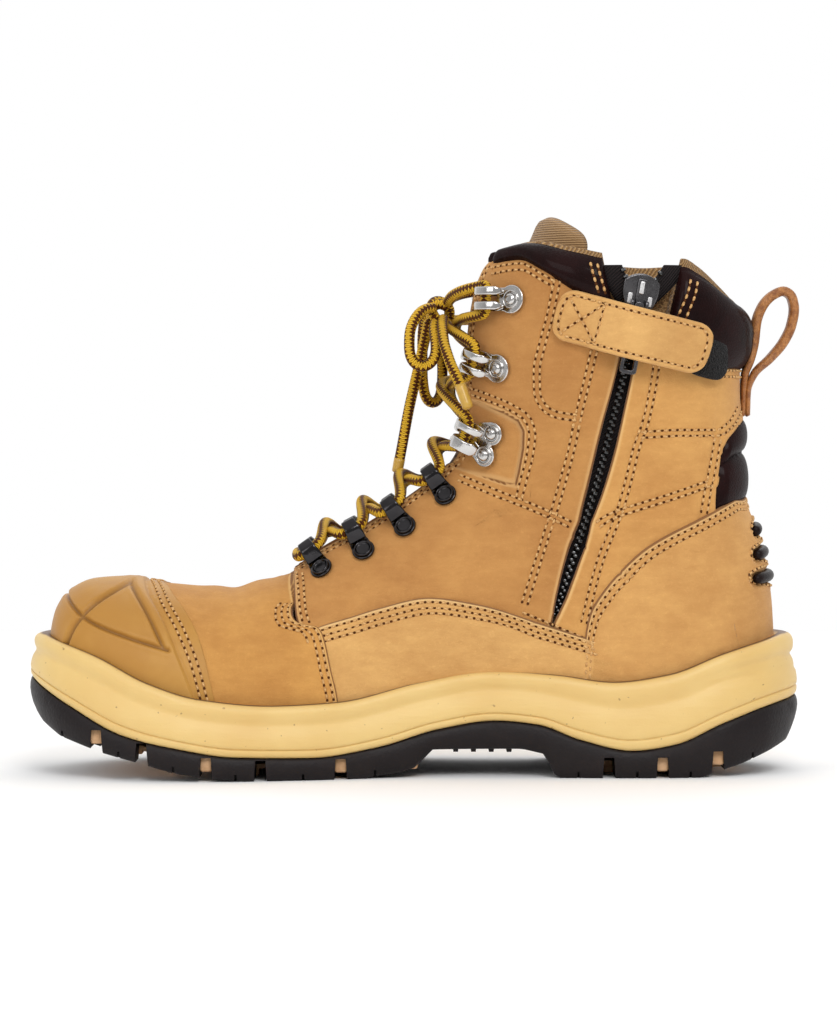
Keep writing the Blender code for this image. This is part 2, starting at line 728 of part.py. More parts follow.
def flex_rib(name, index, radius, finish_name):
    """Padded rib that shows through a slot of the counter and bends round the heel."""
    height, drop, reach = FLEX_RIBS[index]
    lift = SEAT_GAP + RIB_RADIUS + 0.35
    longer = 0.3 if finish_name is None else 0.0
    path = []
    for turn in np.linspace(-1, 1, 5):
        side = MEDIAL if turn >= 0 else LATERAL
        z = height - drop * turn * turn
        row = crossing(lambda r: section(r)["back_z"] - z, float(ROW["heel point"]), float(ROW["shaft"]))
        share = 1 - share_of(row, side, abs(turn) * (reach + longer))
        spot = Vector(place(row, share, side))
        inward = Vector(place(row, 0.55, MEDIAL)) * 0.5 + Vector(place(row, 0.55, LATERAL)) * 0.5
        away = spot - inward
        path.append(spot + Vector((away.x, away.y * 1.5, 0.0)).normalized() * lift)
    bm = bmesh.new()
    tube(bm, path, radius)
    return object_from(bm, name, finish_name)


def pad(name, lines, inner, outer, finish_name):
    """A padded piece: a surface with its own bulge at each row, and a rounded edge."""
    bm = bmesh.new()
    for grid in lines:
        add_grid(bm, grid)
    sewn(bm)
    object_from(thicken(bm, inner, outer), name, finish_name)


def heel_pad():
    """Soft panel over the tendon, between counter and pull loop."""
    edge = [(-165.0, 111.4), (-131.0, 111.2), (-124.0, 112.5), (-119.5, 119.0), (-119.0, 132.0),
            (-122.0, 138.0), (-131.0, 140.0), (-165.0, 140.0)]
    panel("heel_pad", edge, 2.6, "padded leather")


COLLAR_BULGE = ((0.0, 0.2, -6.0), (0.25, 2.2, -8.5), (0.6, 2.6, -8.5), (0.88, 1.2, -7.0), (1.0, -1.8, -4.2))


def collar_grid(side, start_x, end_x, columns):
    """Rows of a stretch of collar between two places of the side view, with each point's offsets."""
    grid, offsets = [], {}
    span = (min(start_x, end_x), max(start_x, end_x))
    def share_at(row, x):
        along, _, points = arc(row, side)
        return float(np.interp(-x, -points[:, 0], along)) / along[-1]
    for fraction in np.linspace(0, 1, columns):
        def share(row):
            front = share_at(row, span[1]) if span[1] < -25 else upper_share(row, 0.0, side)
            back = share_at(row, span[0]) if span[0] > -125 else 1.0
            return front + (back - front) * fraction
        def above(table, by):
            def test(row):
                point = place(row, share(row), side)
                return line(table, point[0]) + by - point[2]
            return crossing(test, float(ROW["ankle"]), float(LAST_ROW))
        low, high = above(LEATHER_TOP, 1.4), above(COLLAR_TOP, 0.0)
        points = []
        for up, outer, inner in COLLAR_BULGE:
            row = low + (high - low) * up
            point = place(row, share(row), side)
            offsets[tuple(np.round(point, 2))] = (outer, inner)
            points.append(point)
        grid.append(points)
    return grid, offsets


def collar(name, stretches):
    grids, offsets = [], {}
    for side, start_x, end_x, columns in stretches:
        grid, found = collar_grid(side, start_x, end_x, columns)
        grids.append(grid)
        offsets.update(found)
    keys = np.array(list(offsets))
    values = list(offsets.values())
    def nearest(vert, which):
        return values[int(np.argmin(((keys - np.array(vert.co)) ** 2).sum(axis=1)))][which]
    pad(name, grids, lambda v: nearest(v, 1), lambda v: nearest(v, 0), "padded leather")


COLLAR_ZIP_FRONT = -71.0
COLLAR_ZIP_REAR = -103.0


def collars():
    """Padded collar in two stretches, parted by the zip on the medial side."""
    collar("collar_front", [(MEDIAL, COLLAR_ZIP_FRONT, 0.0, 6)])
    collar("collar_rear", [(MEDIAL, -140.0, COLLAR_ZIP_REAR, 6), (LATERAL, -140.0, 0.0, 13)])


def tongue():
    """Padded tongue behind the throat, from under the vamp to above the collar."""
    rows = np.concatenate([[8.6, 9.2], np.arange(10, 15, 0.6), np.arange(15, 21.6, 1.0), [21.4, 22.0]])
    half_width = np.interp(rows, (8.6, 10.0, 15.0, 19.0, 21.4, 22.0), (16.0, 22.0, 26.0, 34.0, 34.0, 26.0))
    clear = WALL + 1.6
    grid = []
    for row, half in zip(rows, half_width):
        points = []
        for across in np.linspace(-1, 1, 7):
            side = MEDIAL if across >= 0 else LATERAL
            points.append(place(row, share_of(row, side, abs(across) * half), side))
        grid.append(points)
    bm = bmesh.new()
    add_grid(bm, grid)
    sewn(bm)
    tuck_from, tuck_to, tuck = 176.0, 194.0, 7.6
    def outer(vert):
        inside_collar = min(max((vert.co.z - tuck_from) / (tuck_to - tuck_from), 0.0), 1.0)
        return -clear - tuck * inside_collar
    object_from(thicken(bm, lambda v: outer(v) - TONGUE, outer), "tongue", "textile")


# Zip, strap and pull loop

ZIP_FOOT, ZIP_HEAD = 62.5, 200.0
SLIDER_Z = 189.0


def zip_spot(z, across, lift):
    """A point beside the zip's middle line, on the medial wall."""
    point, _ = on_side(float(line(ZIP_LINE, z)) + across, z, MEDIAL, lift)
    return point


def zip_half(name, toward):
    """One tape of the zip with its row of teeth, parting above the slider."""
    behind = -WALL - 1.8
    tape, reach = 1.1, 5.0
    bm = bmesh.new()
    loops = []
    for z in (*np.linspace(ZIP_FOOT, 178.0, 9), 184.0, 190.0, 195.0, ZIP_HEAD):
        part = 6.5 * max(0.0, (z - 181.0) / (ZIP_HEAD - 181.0))
        tooth = behind + 0.1 if z < 78.0 else -0.5
        profile = ((0.25, behind - tape), (reach, behind - tape), (reach, behind),
                   (1.5, behind), (1.5, tooth), (0.25, tooth))
        loops.append([bm.verts.new(zip_spot(z, toward * (across + part), lift)) for across, lift in profile])
    for a, b in zip(loops, loops[1:]):
        for i in range(len(a)):
            j = (i + 1) % len(a)
            bm.faces.new((a[i], a[j], b[j], b[i]))
    bm.faces.new(loops[0])
    bm.faces.new(loops[-1])
    object_from(bm, name, "zip")


def surface_frame(x, z, side, toward, lift):
    """Matrix with its origin on the last: X along the wall towards a place, Z out of the wall."""
    origin, normal = on_side(x, z, side, lift)
    target, _ = on_side(*toward, side, lift)
    ahead = target - origin
    ahead = (ahead - normal * ahead.dot(normal)).normalized()
    across = normal.cross(ahead)
    matrix = Matrix((ahead, across, normal)).transposed().to_4x4()
    matrix.translation = origin
    return matrix


def metres(matrix):
    placed = matrix.copy()
    placed.translation = matrix.translation * MM
    return placed


def prism(bm, profile, low, high):
    """An outline of X and Y points raised between two heights."""
    loops = [[bm.verts.new((x, y, z)) for x, y in profile] for z in (low, high)]
    for i in range(len(profile)):
        j = (i + 1) % len(profile)
        bm.faces.new((loops[0][i], loops[0][j], loops[1][j], loops[1][i]))
    bm.faces.new(loops[0])
    bm.faces.new(loops[1])


def slider_frame(lift):
    x = float(line(ZIP_LINE, SLIDER_Z))
    below = SLIDER_Z - 12.0
    return surface_frame(x, SLIDER_Z, MEDIAL, (float(line(ZIP_LINE, below)), below), lift)


TAB_HINGE = 5.5           # from the slider's middle down to the pull tab's pin
TAB_LENGTH = 27.0
TAB_LIFT = 4.25           # of its middle above the slider's underside
SLIDER_LIFT = -0.15       # the slider rides on the teeth


def zip_slider():
    """Shield-shaped slider at the head of the closed zip, with two ears for the pull tab."""
    bm = bmesh.new()
    shield = [(-8.5 + 3.0 * abs(t) ** 2, 7.0 * t) for t in np.linspace(-1, 1, 7)]
    shield += [(3.0, 6.2), (7.5, 4.2), (7.5, -4.2), (3.0, -6.2)]
    prism(bm, shield, 0.0, 2.2)
    obj = object_from(bm, "zip_slider", "zip")
    ears = bmesh.new()
    for y in (-2.9, 2.9):
        bar(ears, (TAB_HINGE - 1.5, y, 3.0), (4.5, 1.3, 4.1))
    combine(obj, object_from(ears, "slider_ears", None), "UNION")
    frame = metres(slider_frame(SLIDER_LIFT))
    for made in (obj, bpy.data.objects["slider_ears"]):
        made.matrix_world = frame


def zip_pull():
    """Flat pull tab with a window at its foot, hinged between the slider's ears."""
    bm = bmesh.new()
    head, foot, neck, half = -1.6, TAB_LENGTH, 1.9, 3.4
    rim = [(head, -neck), (3.0, -neck), (8.0, -half), (foot - 2.0, -half), (foot, -half + 1.5),
           (foot, half - 1.5), (foot - 2.0, half), (8.0, half), (3.0, neck), (head, neck)]
    prism(bm, rim, -0.8, 0.8)
    obj = object_from(bm, "zip_pull", "zip")
    window = bmesh.new()
    bar(window, (foot - 5.0, 0.0, 0.0), (6.0, 3.8, 6.0))
    cutter = object_from(window, "pull_window", None)
    combine(obj, cutter, "DIFFERENCE")
    hinge = slider_frame(SLIDER_LIFT) @ Matrix.Translation((TAB_HINGE - 1.5, 0.0, TAB_LIFT))
    for made in (obj, cutter):
        made.matrix_world = metres(hinge)


STRAP_START, STRAP_END = (-55.5, 182.5), (-115.5, 166.5)
STRAP_HALF = 9.6
STRAP_LIFT = np.array([
    # share of its length, height of its underside over the wall
    (0.0, 0.6), (0.2, 0.7), (0.36, 5.5), (0.48, 8.0), (0.62, 7.8), (0.8, 5.6), (1.0, 5.0),
])


def strap():
    """Leather strap sewn down in front of the zip, reaching over it to a grip patch on the collar."""
    thickness = 2.4
    bm = bmesh.new()
    start, end = np.array(STRAP_START), np.array(STRAP_END)
    along = end - start
    across = np.array((along[1], -along[0])) / np.linalg.norm(along)
    rows = []
    for share in np.linspace(0, 1, 11):
        edge = min(share, 1 - share) * np.linalg.norm(along)
        corner = STRAP_HALF - (max(0.0, 5.0 - edge) ** 2) / 7.0
        row = []
        for t in np.linspace(-1, 1, 5):
            x, z = start + along * share + across * corner * t
            row.append(on_side(x, z, MEDIAL, float(line(STRAP_LIFT, share)))[0])
        rows.append(row)
    add_grid(bm, rows)
    sewn(bm)
    object_from(thicken(bm, 0.0, thickness), "zip_strap", "nubuck")


def strap_grip():
    """Black grip patch that holds the strap's free end."""
    bm = bmesh.new()
    rows = []
    for x in np.linspace(-105.0, -119.5, 5):
        row = []
        for z in np.linspace(157.5, 172.5, 4):
            row.append(on_side(x, z - 0.27 * (x + 112.0) * -1.0, MEDIAL, 3.1)[0])
        rows.append(row)
    add_grid(bm, rows)
    sewn(bm)
    object_from(thicken(bm, 0.0, 1.4), "strap_grip", "zip")


PULL_LOOP_OUTER = (
    (-131.2, 142.0), (-131.2, 160.0), (-134.9, 164.0), (-135.6, 172.0), (-136.4, 180.0), (-139.2, 187.0),
    (-143.6, 191.8), (-148.4, 193.6), (-152.6, 191.0), (-154.0, 185.0), (-152.8, 178.0), (-149.4, 170.8),
    (-144.5, 164.0), (-139.5, 158.5), (-137.0, 150.0), (-136.6, 142.0),
)
PULL_LOOP_HOLE = (
    (-137.8, 164.5), (-137.9, 171.5), (-138.6, 179.0), (-140.8, 185.2), (-144.6, 189.3), (-148.2, 190.8),
    (-150.6, 189.0), (-151.5, 184.5), (-150.4, 178.8), (-147.4, 172.4), (-142.4, 166.0),
)
PULL_LOOP_WIDTH = 9.0


def pull_loop():
    """Leather loop sewn to the back, standing up behind the collar."""
    curve = bpy.data.curves.new("pull_loop", "CURVE")
    curve.dimensions = "2D"
    curve.fill_mode = "BOTH"
    curve.extrude = PULL_LOOP_WIDTH / 2 * MM
    for outline_points in (PULL_LOOP_OUTER, PULL_LOOP_HOLE):
        spline = curve.splines.new("POLY")
        spline.points.add(len(outline_points) - 1)
        for point, (x, z) in zip(spline.points, outline_points):
            point.co = (x * MM, z * MM, 0.0, 1.0)
        spline.use_cyclic_u = True
    obj = add_object("pull_loop", curve, "nubuck")
    obj.rotation_euler = (math.radians(90), 0.0, 0.0)


# Eyelets and hooks

RIVETS = {
    # name: rivet x, z and the lace's place x, z beside it
    "eyelet_1": ((37.3, 81.5), (41.8, 88.6)),
    "eyelet_2": ((20.8, 88.9), (26.0, 96.1)),
    "eyelet_3": ((4.3, 98.4), (9.9, 105.6)),
    "eyelet_4": ((-11.8, 110.9), (-6.7, 117.8)),
    "ankle_hook": ((-29.0, 131.0), (-19.0, 137.5)),
    "top_hook_1": ((-32.2, 161.1), (-22.5, 166.0)),
    "top_hook_2": ((-37.6, 187.8), (-27.0, 187.5)),
}
STRIP = 1.0               # sheet metal of the eyelets and hooks
EYELET_LINE = ((-4.6, 0.6), (7.0, 0.6), (10.6, 2.2), (11.6, 5.0), (9.4, 7.6), (6.2, 6.8), (3.8, 2.6))
HOOK_LINE = ((-4.8, 0.6), (7.6, 0.6), (11.4, 2.6), (12.4, 5.8), (10.0, 8.2), (6.4, 7.6))
CARRY = {"eyelet": (8.0, 4.0), "hook": (8.6, 4.2)}


def strip_outline(centre_line):
    """Both sides of a bent strip, as one outline."""
    points = np.array(centre_line)
    tangent = np.gradient(points, axis=0)
    tangent /= np.linalg.norm(tangent, axis=1)[:, None]
    normal = np.stack([-tangent[:, 1], tangent[:, 0]], axis=1)
    return np.concatenate([points + normal * STRIP / 2, (points - normal * STRIP / 2)[::-1]])


def hardware_mesh(name, centre_line, width, rivets, finish_name):
    """A bent metal strip with riveted heads, as a mesh that its copies share."""
    bm = bmesh.new()
    profile = strip_outline(centre_line)
    loops = [[bm.verts.new((x, y, z)) for x, z in profile] for y in (-width / 2, width / 2)]
    for i in range(len(profile)):
        j = (i + 1) % len(profile)
        bm.faces.new((loops[0][i], loops[0][j], loops[1][j], loops[1][i]))
    bm.faces.new(loops[0])
    bm.faces.new(loops[1])
    body = object_from(bm, name, finish_name)
    heads = bmesh.new()
    for x, y in rivets:
        bmesh.ops.create_cone(heads, cap_ends=True, segments=6, radius1=3.5, radius2=2.0, depth=2.0,
                              matrix=Matrix.Translation((x, y, 1.3)))
    combine(body, object_from(heads, name + "_heads", None), "UNION")
    graph = bpy.context.evaluated_depsgraph_get()
    mesh = bpy.data.meshes.new_from_object(body.evaluated_get(graph))
    for made in (body, bpy.data.objects[name + "_heads"]):
        bpy.data.objects.remove(made)
    return mesh


def hardware_frame(name, side):
    rivet, lace = RIVETS[name]
    return surface_frame(*rivet, side, lace, 0.55)


def hardware():
    """Seven fittings a side: four closed eyelets, an ankle hook on two rivets and two open hooks."""
    meshes = {
        "eyelet": hardware_mesh("eyelet", EYELET_LINE, 6.4, [(-1.4, 0.0)], "dark nickel"),
        "ankle": hardware_mesh("ankle", HOOK_LINE, 8.0, [(-1.0, -4.6), (-1.0, 4.6)], "bright nickel"),
        "top": hardware_mesh("top", HOOK_LINE, 7.6, [(-1.4, 0.0)], "bright nickel"),
    }
    for side_name, side in SIDES.items():
        for name in RIVETS:
            obj = bpy.data.objects.new(f"{name}_{side_name}", meshes[name.split("_")[0]])
            bpy.context.scene.collection.objects.link(obj)
            obj.matrix_world = metres(hardware_frame(name, side))


# Lace

def carried(name, side, along):
    """Where the lace runs at a fitting, a distance up the boot from its middle."""
    kind = "eyelet" if name.startswith("eyelet") else "hook"
    frame = hardware_frame(name, side)
    ahead, lift = CARRY[kind]
    up = frame.to_3x3().col[1]
    up = up if up.z > 0 else -up
    return frame @ Vector((ahead, 0.0, lift)) + up * along


def bowed(start, end, count=6):
    """A path between two points that bows out over the tongue and the edges of the throat."""
    start, end = Vector(start), Vector(end)
    middle = (start + end) / 2
    s = section(row_at_side(middle.x, middle.z))
    front = Vector((s["front_x"], 0.0, s["front_z"]))
    outward = (front - Vector((s["back_x"], 0.0, s["back_z"]))).normalized()
    rise = max((front - middle).dot(outward) + LACE_RADIUS + 1.4, 2.0)
    path = []
    for t in np.linspace(0, 1, count):
        path.append(start.lerp(end, t) + outward * rise * math.sin(math.pi * t) ** 0.7)
    return path


def lacing():
    """The bar at the foot of the lacing and the crossings above it, each crossing one joined solid."""
    names = list(RIVETS)
    beyond = {"eyelet": 5.6, "ankle": 6.6, "top": 7.1}
    bm = bmesh.new()
    first = names[0]
    ends = [carried(first, side, -beyond["eyelet"] - 0.4) for side in SIDES.values()]
    tube(bm, bowed(*ends, 7), LACE_RADIUS)
    object_from(bm, "lace_bar", "lace")
    for index, (low, high) in enumerate(zip(names, names[1:])):
        made = []
        for side in SIDES.values():
            bm = bmesh.new()
            start = carried(low, side, beyond[low.split("_")[0]])
            end = carried(high, -side, -beyond[high.split("_")[0]])
            tube(bm, bowed(start, end), LACE_RADIUS)
            hidden = side == LATERAL
            name = f"lace_cross_{index + 1}" + ("_other" if hidden else "")
            made.append(object_from(bm, name, None if hidden else "lace"))
        combine(made[0], made[1], "UNION")
    for name, side in SIDES.items():
        bm = bmesh.new()
        start = carried(names[-1], side, beyond["top"])
        end = KNOT + Vector((-1.0, side * 5.1, 4.4))
        tube(bm, [start, start.lerp(end, 0.3) + Vector((3.5, 0, 0)), start.lerp(end, 0.65) + Vector((3.0, 0, 0)), end],
             LACE_RADIUS)
        object_from(bm, "lace_tie_" + name, "lace")


KNOT = Vector((-12.0, 1.0, 186.4))
CORD_ROUTES = {
    # points of the bow's loops and ends, leaving the knot
    "lace_loop_medial": ((-7.0, 4.6, 188.0), (-1.6, 9.0, 185.6), (2.6, 13.0, 178.0), (3.2, 16.0, 169.0),
                         (-0.3, 17.5, 161.8), (-5.4, 17.5, 161.6), (-8.2, 16.0, 167.0), (-8.0, 10.6, 174.5),
                         (-8.0, 5.0, 180.2)),
    "lace_loop_lateral": ((-7.2, -3.4, 188.0), (-2.6, -9.0, 183.6), (-0.6, -13.0, 173.0), (-1.2, -15.0, 161.0),
                          (-4.2, -16.0, 151.8), (-9.0, -16.0, 151.6), (-10.6, -14.0, 160.0),
                          (-9.8, -9.6, 171.0), (-9.8, -5.2, 179.4)),
    "lace_end_medial": ((-12.9, 6.6, 184.0), (-11.9, 13.4, 180.2), (-12.3, 21.0, 174.0), (-14.2, 28.0, 164.0),
                        (-17.0, 32.0, 153.0), (-20.0, 33.5, 142.5)),
    "lace_end_lateral": ((-6.0, 1.0, 183.4), (-3.4, -0.4, 172.0), (-0.6, -2.0, 159.0), (2.4, -3.0, 145.0),
                         (5.0, -4.0, 131.0), (7.2, -5.0, 119.5)),
}


def curve_through(points, spacing):
    """Points close together on a smooth curve through a route."""
    route = np.array(points)
    along = np.concatenate([[0], np.cumsum(np.linalg.norm(np.diff(route, axis=0), axis=1))])
    at = np.linspace(0, along[-1], max(int(along[-1] / spacing), 4))
    return np.stack([smooth(at, along, route[:, k]) for k in range(3)], axis=1)


def bow():
    """Knot, two loops and two ends of the lace."""
    bm = bmesh.new()
    bmesh.ops.create_icosphere(bm, subdivisions=2, radius=1.0,
                               matrix=Matrix.Translation(KNOT) @ Matrix.Diagonal((4.8, 5.8, 5.6, 1.0)))
    object_from(bm, "lace_knot", "lace")
    for name, route in CORD_ROUTES.items():
        curve = bpy.data.curves.new(name, "CURVE")
        curve.dimensions = "3D"
        curve.bevel_depth = LACE_RADIUS * MM
        curve.bevel_resolution = 2
        curve.use_fill_caps = True
        points = curve_through(route, 7.0)
        spline = curve.splines.new("POLY")
        spline.points.add(len(points) - 1)
        for point, place_mm in zip(spline.points, points):
            point.co = (*(place_mm * MM), 1.0)
        add_object(name, curve, "lace")


clear_scene()
upper()
outsole()
tread_insert("tread_forefoot", FOREFOOT_TREAD, (24.0, 42.0, 66.0, 90.0, 112.0))
tread_insert("tread_heel", HEEL_TREAD, (-78.0, -98.0, -118.0))
midsole()
insole()
toe_bumper()
vamp()
counter()
heel_pad()
collars()
tongue()
zip_half("zip_tape_front", 1.0)
zip_half("zip_tape_rear", -1.0)
zip_slider()
zip_pull()
strap()
strap_grip()
pull_loop()
hardware()
lacing()
bow()
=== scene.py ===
import math

import bpy
import numpy as np
from mathutils import Matrix, Vector
from mathutils.bvhtree import BVHTree


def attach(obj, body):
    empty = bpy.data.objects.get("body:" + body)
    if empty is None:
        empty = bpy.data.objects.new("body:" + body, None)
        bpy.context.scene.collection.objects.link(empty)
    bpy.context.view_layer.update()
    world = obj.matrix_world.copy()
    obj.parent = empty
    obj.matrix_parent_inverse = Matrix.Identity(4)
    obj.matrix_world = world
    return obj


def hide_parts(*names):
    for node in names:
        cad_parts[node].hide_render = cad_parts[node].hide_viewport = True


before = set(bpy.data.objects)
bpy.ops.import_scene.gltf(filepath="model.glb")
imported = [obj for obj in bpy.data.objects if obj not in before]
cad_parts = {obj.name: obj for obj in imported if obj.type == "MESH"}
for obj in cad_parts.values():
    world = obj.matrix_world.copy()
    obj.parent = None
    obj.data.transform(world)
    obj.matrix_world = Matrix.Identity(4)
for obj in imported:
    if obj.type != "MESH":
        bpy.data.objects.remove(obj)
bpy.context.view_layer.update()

# Quarters
# Nubuck leather of the boot's upper, cut as an inner and an outer quarter and lasted over the foot form.
# The inner quarter is parted along the zip. Sizes are in millimetres: +X to the toe, +Y to the inner side.

MM = 0.001
MEDIAL, LATERAL = 1, -1
SIDES = {"medial": MEDIAL, "lateral": LATERAL}
HALF_LENGTH = 154.0
SOLE_PLAN = np.array([
    # x, middle line, half width
    (-154, 0, 0), (-148, 0, 20), (-138, 0, 31), (-120, 0, 39), (-95, 0.3, 42.6),
    (-60, -0.3, 42.8), (-25, -2.3, 42), (10, -3.2, 46), (45, -2, 54), (75, 0.5, 57),
    (100, 3, 55), (122, 5, 47.5), (138, 6.5, 37), (148, 7.5, 24), (154, 8, 0),
])
PLAN_MIDDLE = 0.72
FEATHER_INSET = 10.5
LIP = np.array([
    # x, z of the midsole's upper edge
    (-146, 55.3), (-122, 48.5), (-100, 40.5), (-78, 37.5), (-55, 40.3), (-30, 41.8),
    (-2, 37.3), (30, 30), (55, 29), (84, 31.8), (104, 38), (125, 48.4), (146, 55.5),
])
SECTIONS = np.array([
    # front x, z, back x, z, middle, inner half, outer half, widest place, roundness
    (142.5, 42, 142.5, 42, 7, 0, 0, 0.8, 2.5),
    (142.6, 54, 139, 40.6, 7, 0, 0, 0.8, 2.5),
    (141.2, 63, 133, 38.2, 6.5, 0, 0, 0.8, 2.5),
    (136.8, 69.8, 124, 34.6, 6, 0, 0, 0.8, 2.5),
    (128, 74, 112, 30.1, 5, 0, 0, 0.8, 2.4),
    (114, 74.8, 99, 25.2, 4, 0, 0, 0.8, 2.2),
    (97, 73, 84, 21.8, 3, 0, 0, 0.8, 2.1),
    (78, 71.6, 68, 19.5, 2, 30, 30, 0.8, 2),
    (62, 74, 52, 19.1, 1.5, 35, 37, 0.78, 2),
    (50, 78.5, 36, 19.5, 1, 36, 38, 0.75, 2),
    (36, 91.5, 12, 21.4, 1, 34, 37, 0.72, 1.95),
    (21.8, 100, -18, 27.3, 0.5, 34, 36.5, 0.7, 1.9),
    (5.3, 111.4, -52, 28.3, 0, 35, 36, 0.65, 1.9),
    (-9.8, 124.2, -100, 28.1, 0, 35, 35.5, 0.6, 1.9),
    (-13.5, 131, -143.5, 33, 0, 35.8, 35.8, 0.57, 1.95),
    (-14.5, 139, -142.2, 66, 0, 36.4, 36.4, 0.54, 2),
    (-15.8, 148.6, -138, 90, 0, 37.5, 37.5, 0.5, 2),
    (-17.8, 160.6, -131.6, 111, 0, 39, 39, 0.5, 2),
    (-18.4, 174, -130.8, 138, 0, 41, 41, 0.5, 2),
    (-20.5, 189, -130.8, 162, 0, 42.5, 42.5, 0.5, 2),
    (-24, 200, -131.4, 180, 0, 43.5, 43.5, 0.5, 2),
    (-31, 208.5, -131, 196, 0, 44, 44, 0.5, 2),
    (-40, 229, -129.5, 222, 0, 44, 44, 0.5, 2),
])
HEEL_ROW = 14
BACK_ROUND = 2.2


def smooth(at, knots, values):
    """A curve through the values that never overshoots them."""
    knots, values = np.asarray(knots, float), np.asarray(values, float)
    at = np.clip(at, knots[0], knots[-1])
    step = np.diff(knots)
    slope = np.diff(values) / step
    product = slope[:-1] * slope[1:]
    total = np.where(product > 0, slope[:-1] + slope[1:], 1.0)
    tangent = np.concatenate([[slope[0]], np.where(product > 0, 2 * product / total, 0.0), [slope[-1]]])
    i = np.clip(np.searchsorted(knots, at) - 1, 0, len(step) - 1)
    u = (at - knots[i]) / step[i]
    lean = step[i] * u * (1 - u) * (tangent[i] * (1 - u) - tangent[i + 1] * u)
    return values[i] + (values[i + 1] - values[i]) * u * u * (3 - 2 * u) + lean


def line(table, at):
    table = np.asarray(table)
    return smooth(at, table[:, 0], table[:, 1])


def table_at(table, at):
    """Straight lines between a table's values."""
    table = np.asarray(table)
    return np.interp(at, table[:, 0], table[:, 1])


def unit(vectors):
    return vectors / np.linalg.norm(vectors, axis=-1, keepdims=True)


def run_of(points):
    """Length along a row of points, 0 at its start."""
    return np.concatenate([[0], np.cumsum(np.linalg.norm(np.diff(points, axis=0), axis=1))])


def blend(at, steps, table):
    """A table's columns between its rows, which stand at the steps."""
    return np.stack([np.interp(at, steps, table[:, k]) for k in range(table.shape[1])], axis=1)


def ease(value, low, high):
    """0 up to low and 1 from high on, with a soft change between them."""
    u = np.clip((np.asarray(value, float) - low) / (high - low), 0, 1)
    return u * u * (3 - 2 * u)


def sole_outline(count):
    """Points and outward normals round the sole: heel, inner side, toe, outer side."""
    x = -HALF_LENGTH * np.cos(np.linspace(0, math.pi, count // 2 + 1))
    centre = smooth(x, SOLE_PLAN[:, 0], SOLE_PLAN[:, 1]) - PLAN_MIDDLE
    half = np.sqrt(np.maximum(smooth(x, SOLE_PLAN[:, 0], SOLE_PLAN[:, 2] ** 2), 0))
    inner = np.stack([x, centre + half], axis=1)
    outer = np.stack([x, centre - half], axis=1)[-2:0:-1]
    points = np.concatenate([inner, outer])
    tangent = unit(np.roll(points, -1, axis=0) - np.roll(points, 1, axis=0))
    return points, np.stack([-tangent[:, 1], tangent[:, 0]], axis=1)


ROW_STEPS, SHARE_STEPS, TURN_STEPS = 20, 160, 90
ROWS = np.linspace(0, len(SECTIONS) - 1, (len(SECTIONS) - 1) * ROW_STEPS + 1)
SHARES = np.linspace(0, 1, SHARE_STEPS + 1)
section_rows = np.arange(len(SECTIONS))
section = [smooth(ROWS, section_rows, SECTIONS[:, k]) for k in range(9)]
FRONT_X, FRONT_Z, BACK_X, BACK_Z = section[:4]
feather = SECTIONS[HEEL_ROW::-1, 2:4]
BACK_Z = np.where(ROWS <= HEEL_ROW, line(feather, BACK_X), BACK_Z)


def last_half(side):
    """One half of the last, for each row and share of the way round: points, normals and depths.
    Then, for each row, twice the way from the front line to the widest place, and from there to the back."""
    outline, normals = sole_outline(400)
    inset = outline - normals * FEATHER_INSET
    middle = len(inset) // 2
    plan = inset[:middle + 1] if side == MEDIAL else np.concatenate([inset[middle:], inset[:1]])[::-1]
    centre = section[4] - PLAN_MIDDLE
    foot = np.where(ROWS <= HEEL_ROW, side * (np.interp(BACK_X, plan[:, 0], plan[:, 1]) - centre), 0)
    foot = np.maximum(foot, 0)
    girth = np.sqrt(np.maximum(smooth(ROWS, section_rows, SECTIONS[:, 5 if side == MEDIAL else 6] ** 2), 0))
    wide = np.maximum((girth ** 8 + foot ** 8) ** 0.125, 1e-6)[:, None]
    widest, crown = section[7][:, None], section[8][:, None]
    turn = np.linspace(0, math.pi / 2, TURN_STEPS)
    close = np.maximum(1 - (foot[:, None] / wide) ** BACK_ROUND, 0) ** (1 / BACK_ROUND)
    behind = np.sin(turn[1:])
    depth = np.concatenate([widest * (1 - np.cos(turn)), widest + (1 - widest) * behind], axis=1)
    rise = wide * np.maximum(1 - np.cos(turn) ** crown, 0) ** (1 / crown)
    fall = wide * np.maximum(1 - (close * behind) ** BACK_ROUND, 0) ** (1 / BACK_ROUND)
    reach = np.concatenate([rise, fall], axis=1)
    points = np.stack([
        FRONT_X[:, None] + depth * (BACK_X - FRONT_X)[:, None],
        centre[:, None] + side * reach,
        FRONT_Z[:, None] + depth * (BACK_Z - FRONT_Z)[:, None],
    ], axis=2)
    half_steps = SHARE_STEPS // 2
    spans = ((0, TURN_STEPS), (TURN_STEPS - 1, 2 * TURN_STEPS - 1))
    even = np.zeros((len(ROWS), len(SHARES), 4))
    halves = np.zeros((len(ROWS), 2))
    for i, row_points in enumerate(points):
        for half, (first, last) in enumerate(spans):
            part = row_points[first:last]
            along = run_of(part)
            at = np.linspace(0, along[-1], half_steps + 1)
            columns = slice(half_steps * half, half_steps * (half + 1) + 1)
            even[i, columns, :3] = blend(at, along, part)
            even[i, columns, 3] = np.interp(at, along, depth[i, first:last])
            halves[i, half] = along[-1]
    spots = even[:, :, :3]
    normals = np.cross(np.gradient(spots, axis=1), np.gradient(spots, axis=0)) * side
    normals[:, 0, 1] = 0
    normals[HEEL_ROW * ROW_STEPS + 1:, -1, 1] = 0
    size = np.linalg.norm(normals, axis=2, keepdims=True)
    normals = np.where(size > 1e-9, normals / np.maximum(size, 1e-9), (1, 0, 0))
    return spots, normals, even[:, :, 3], 2 * halves[:, 0], 2 * halves[:, 1]


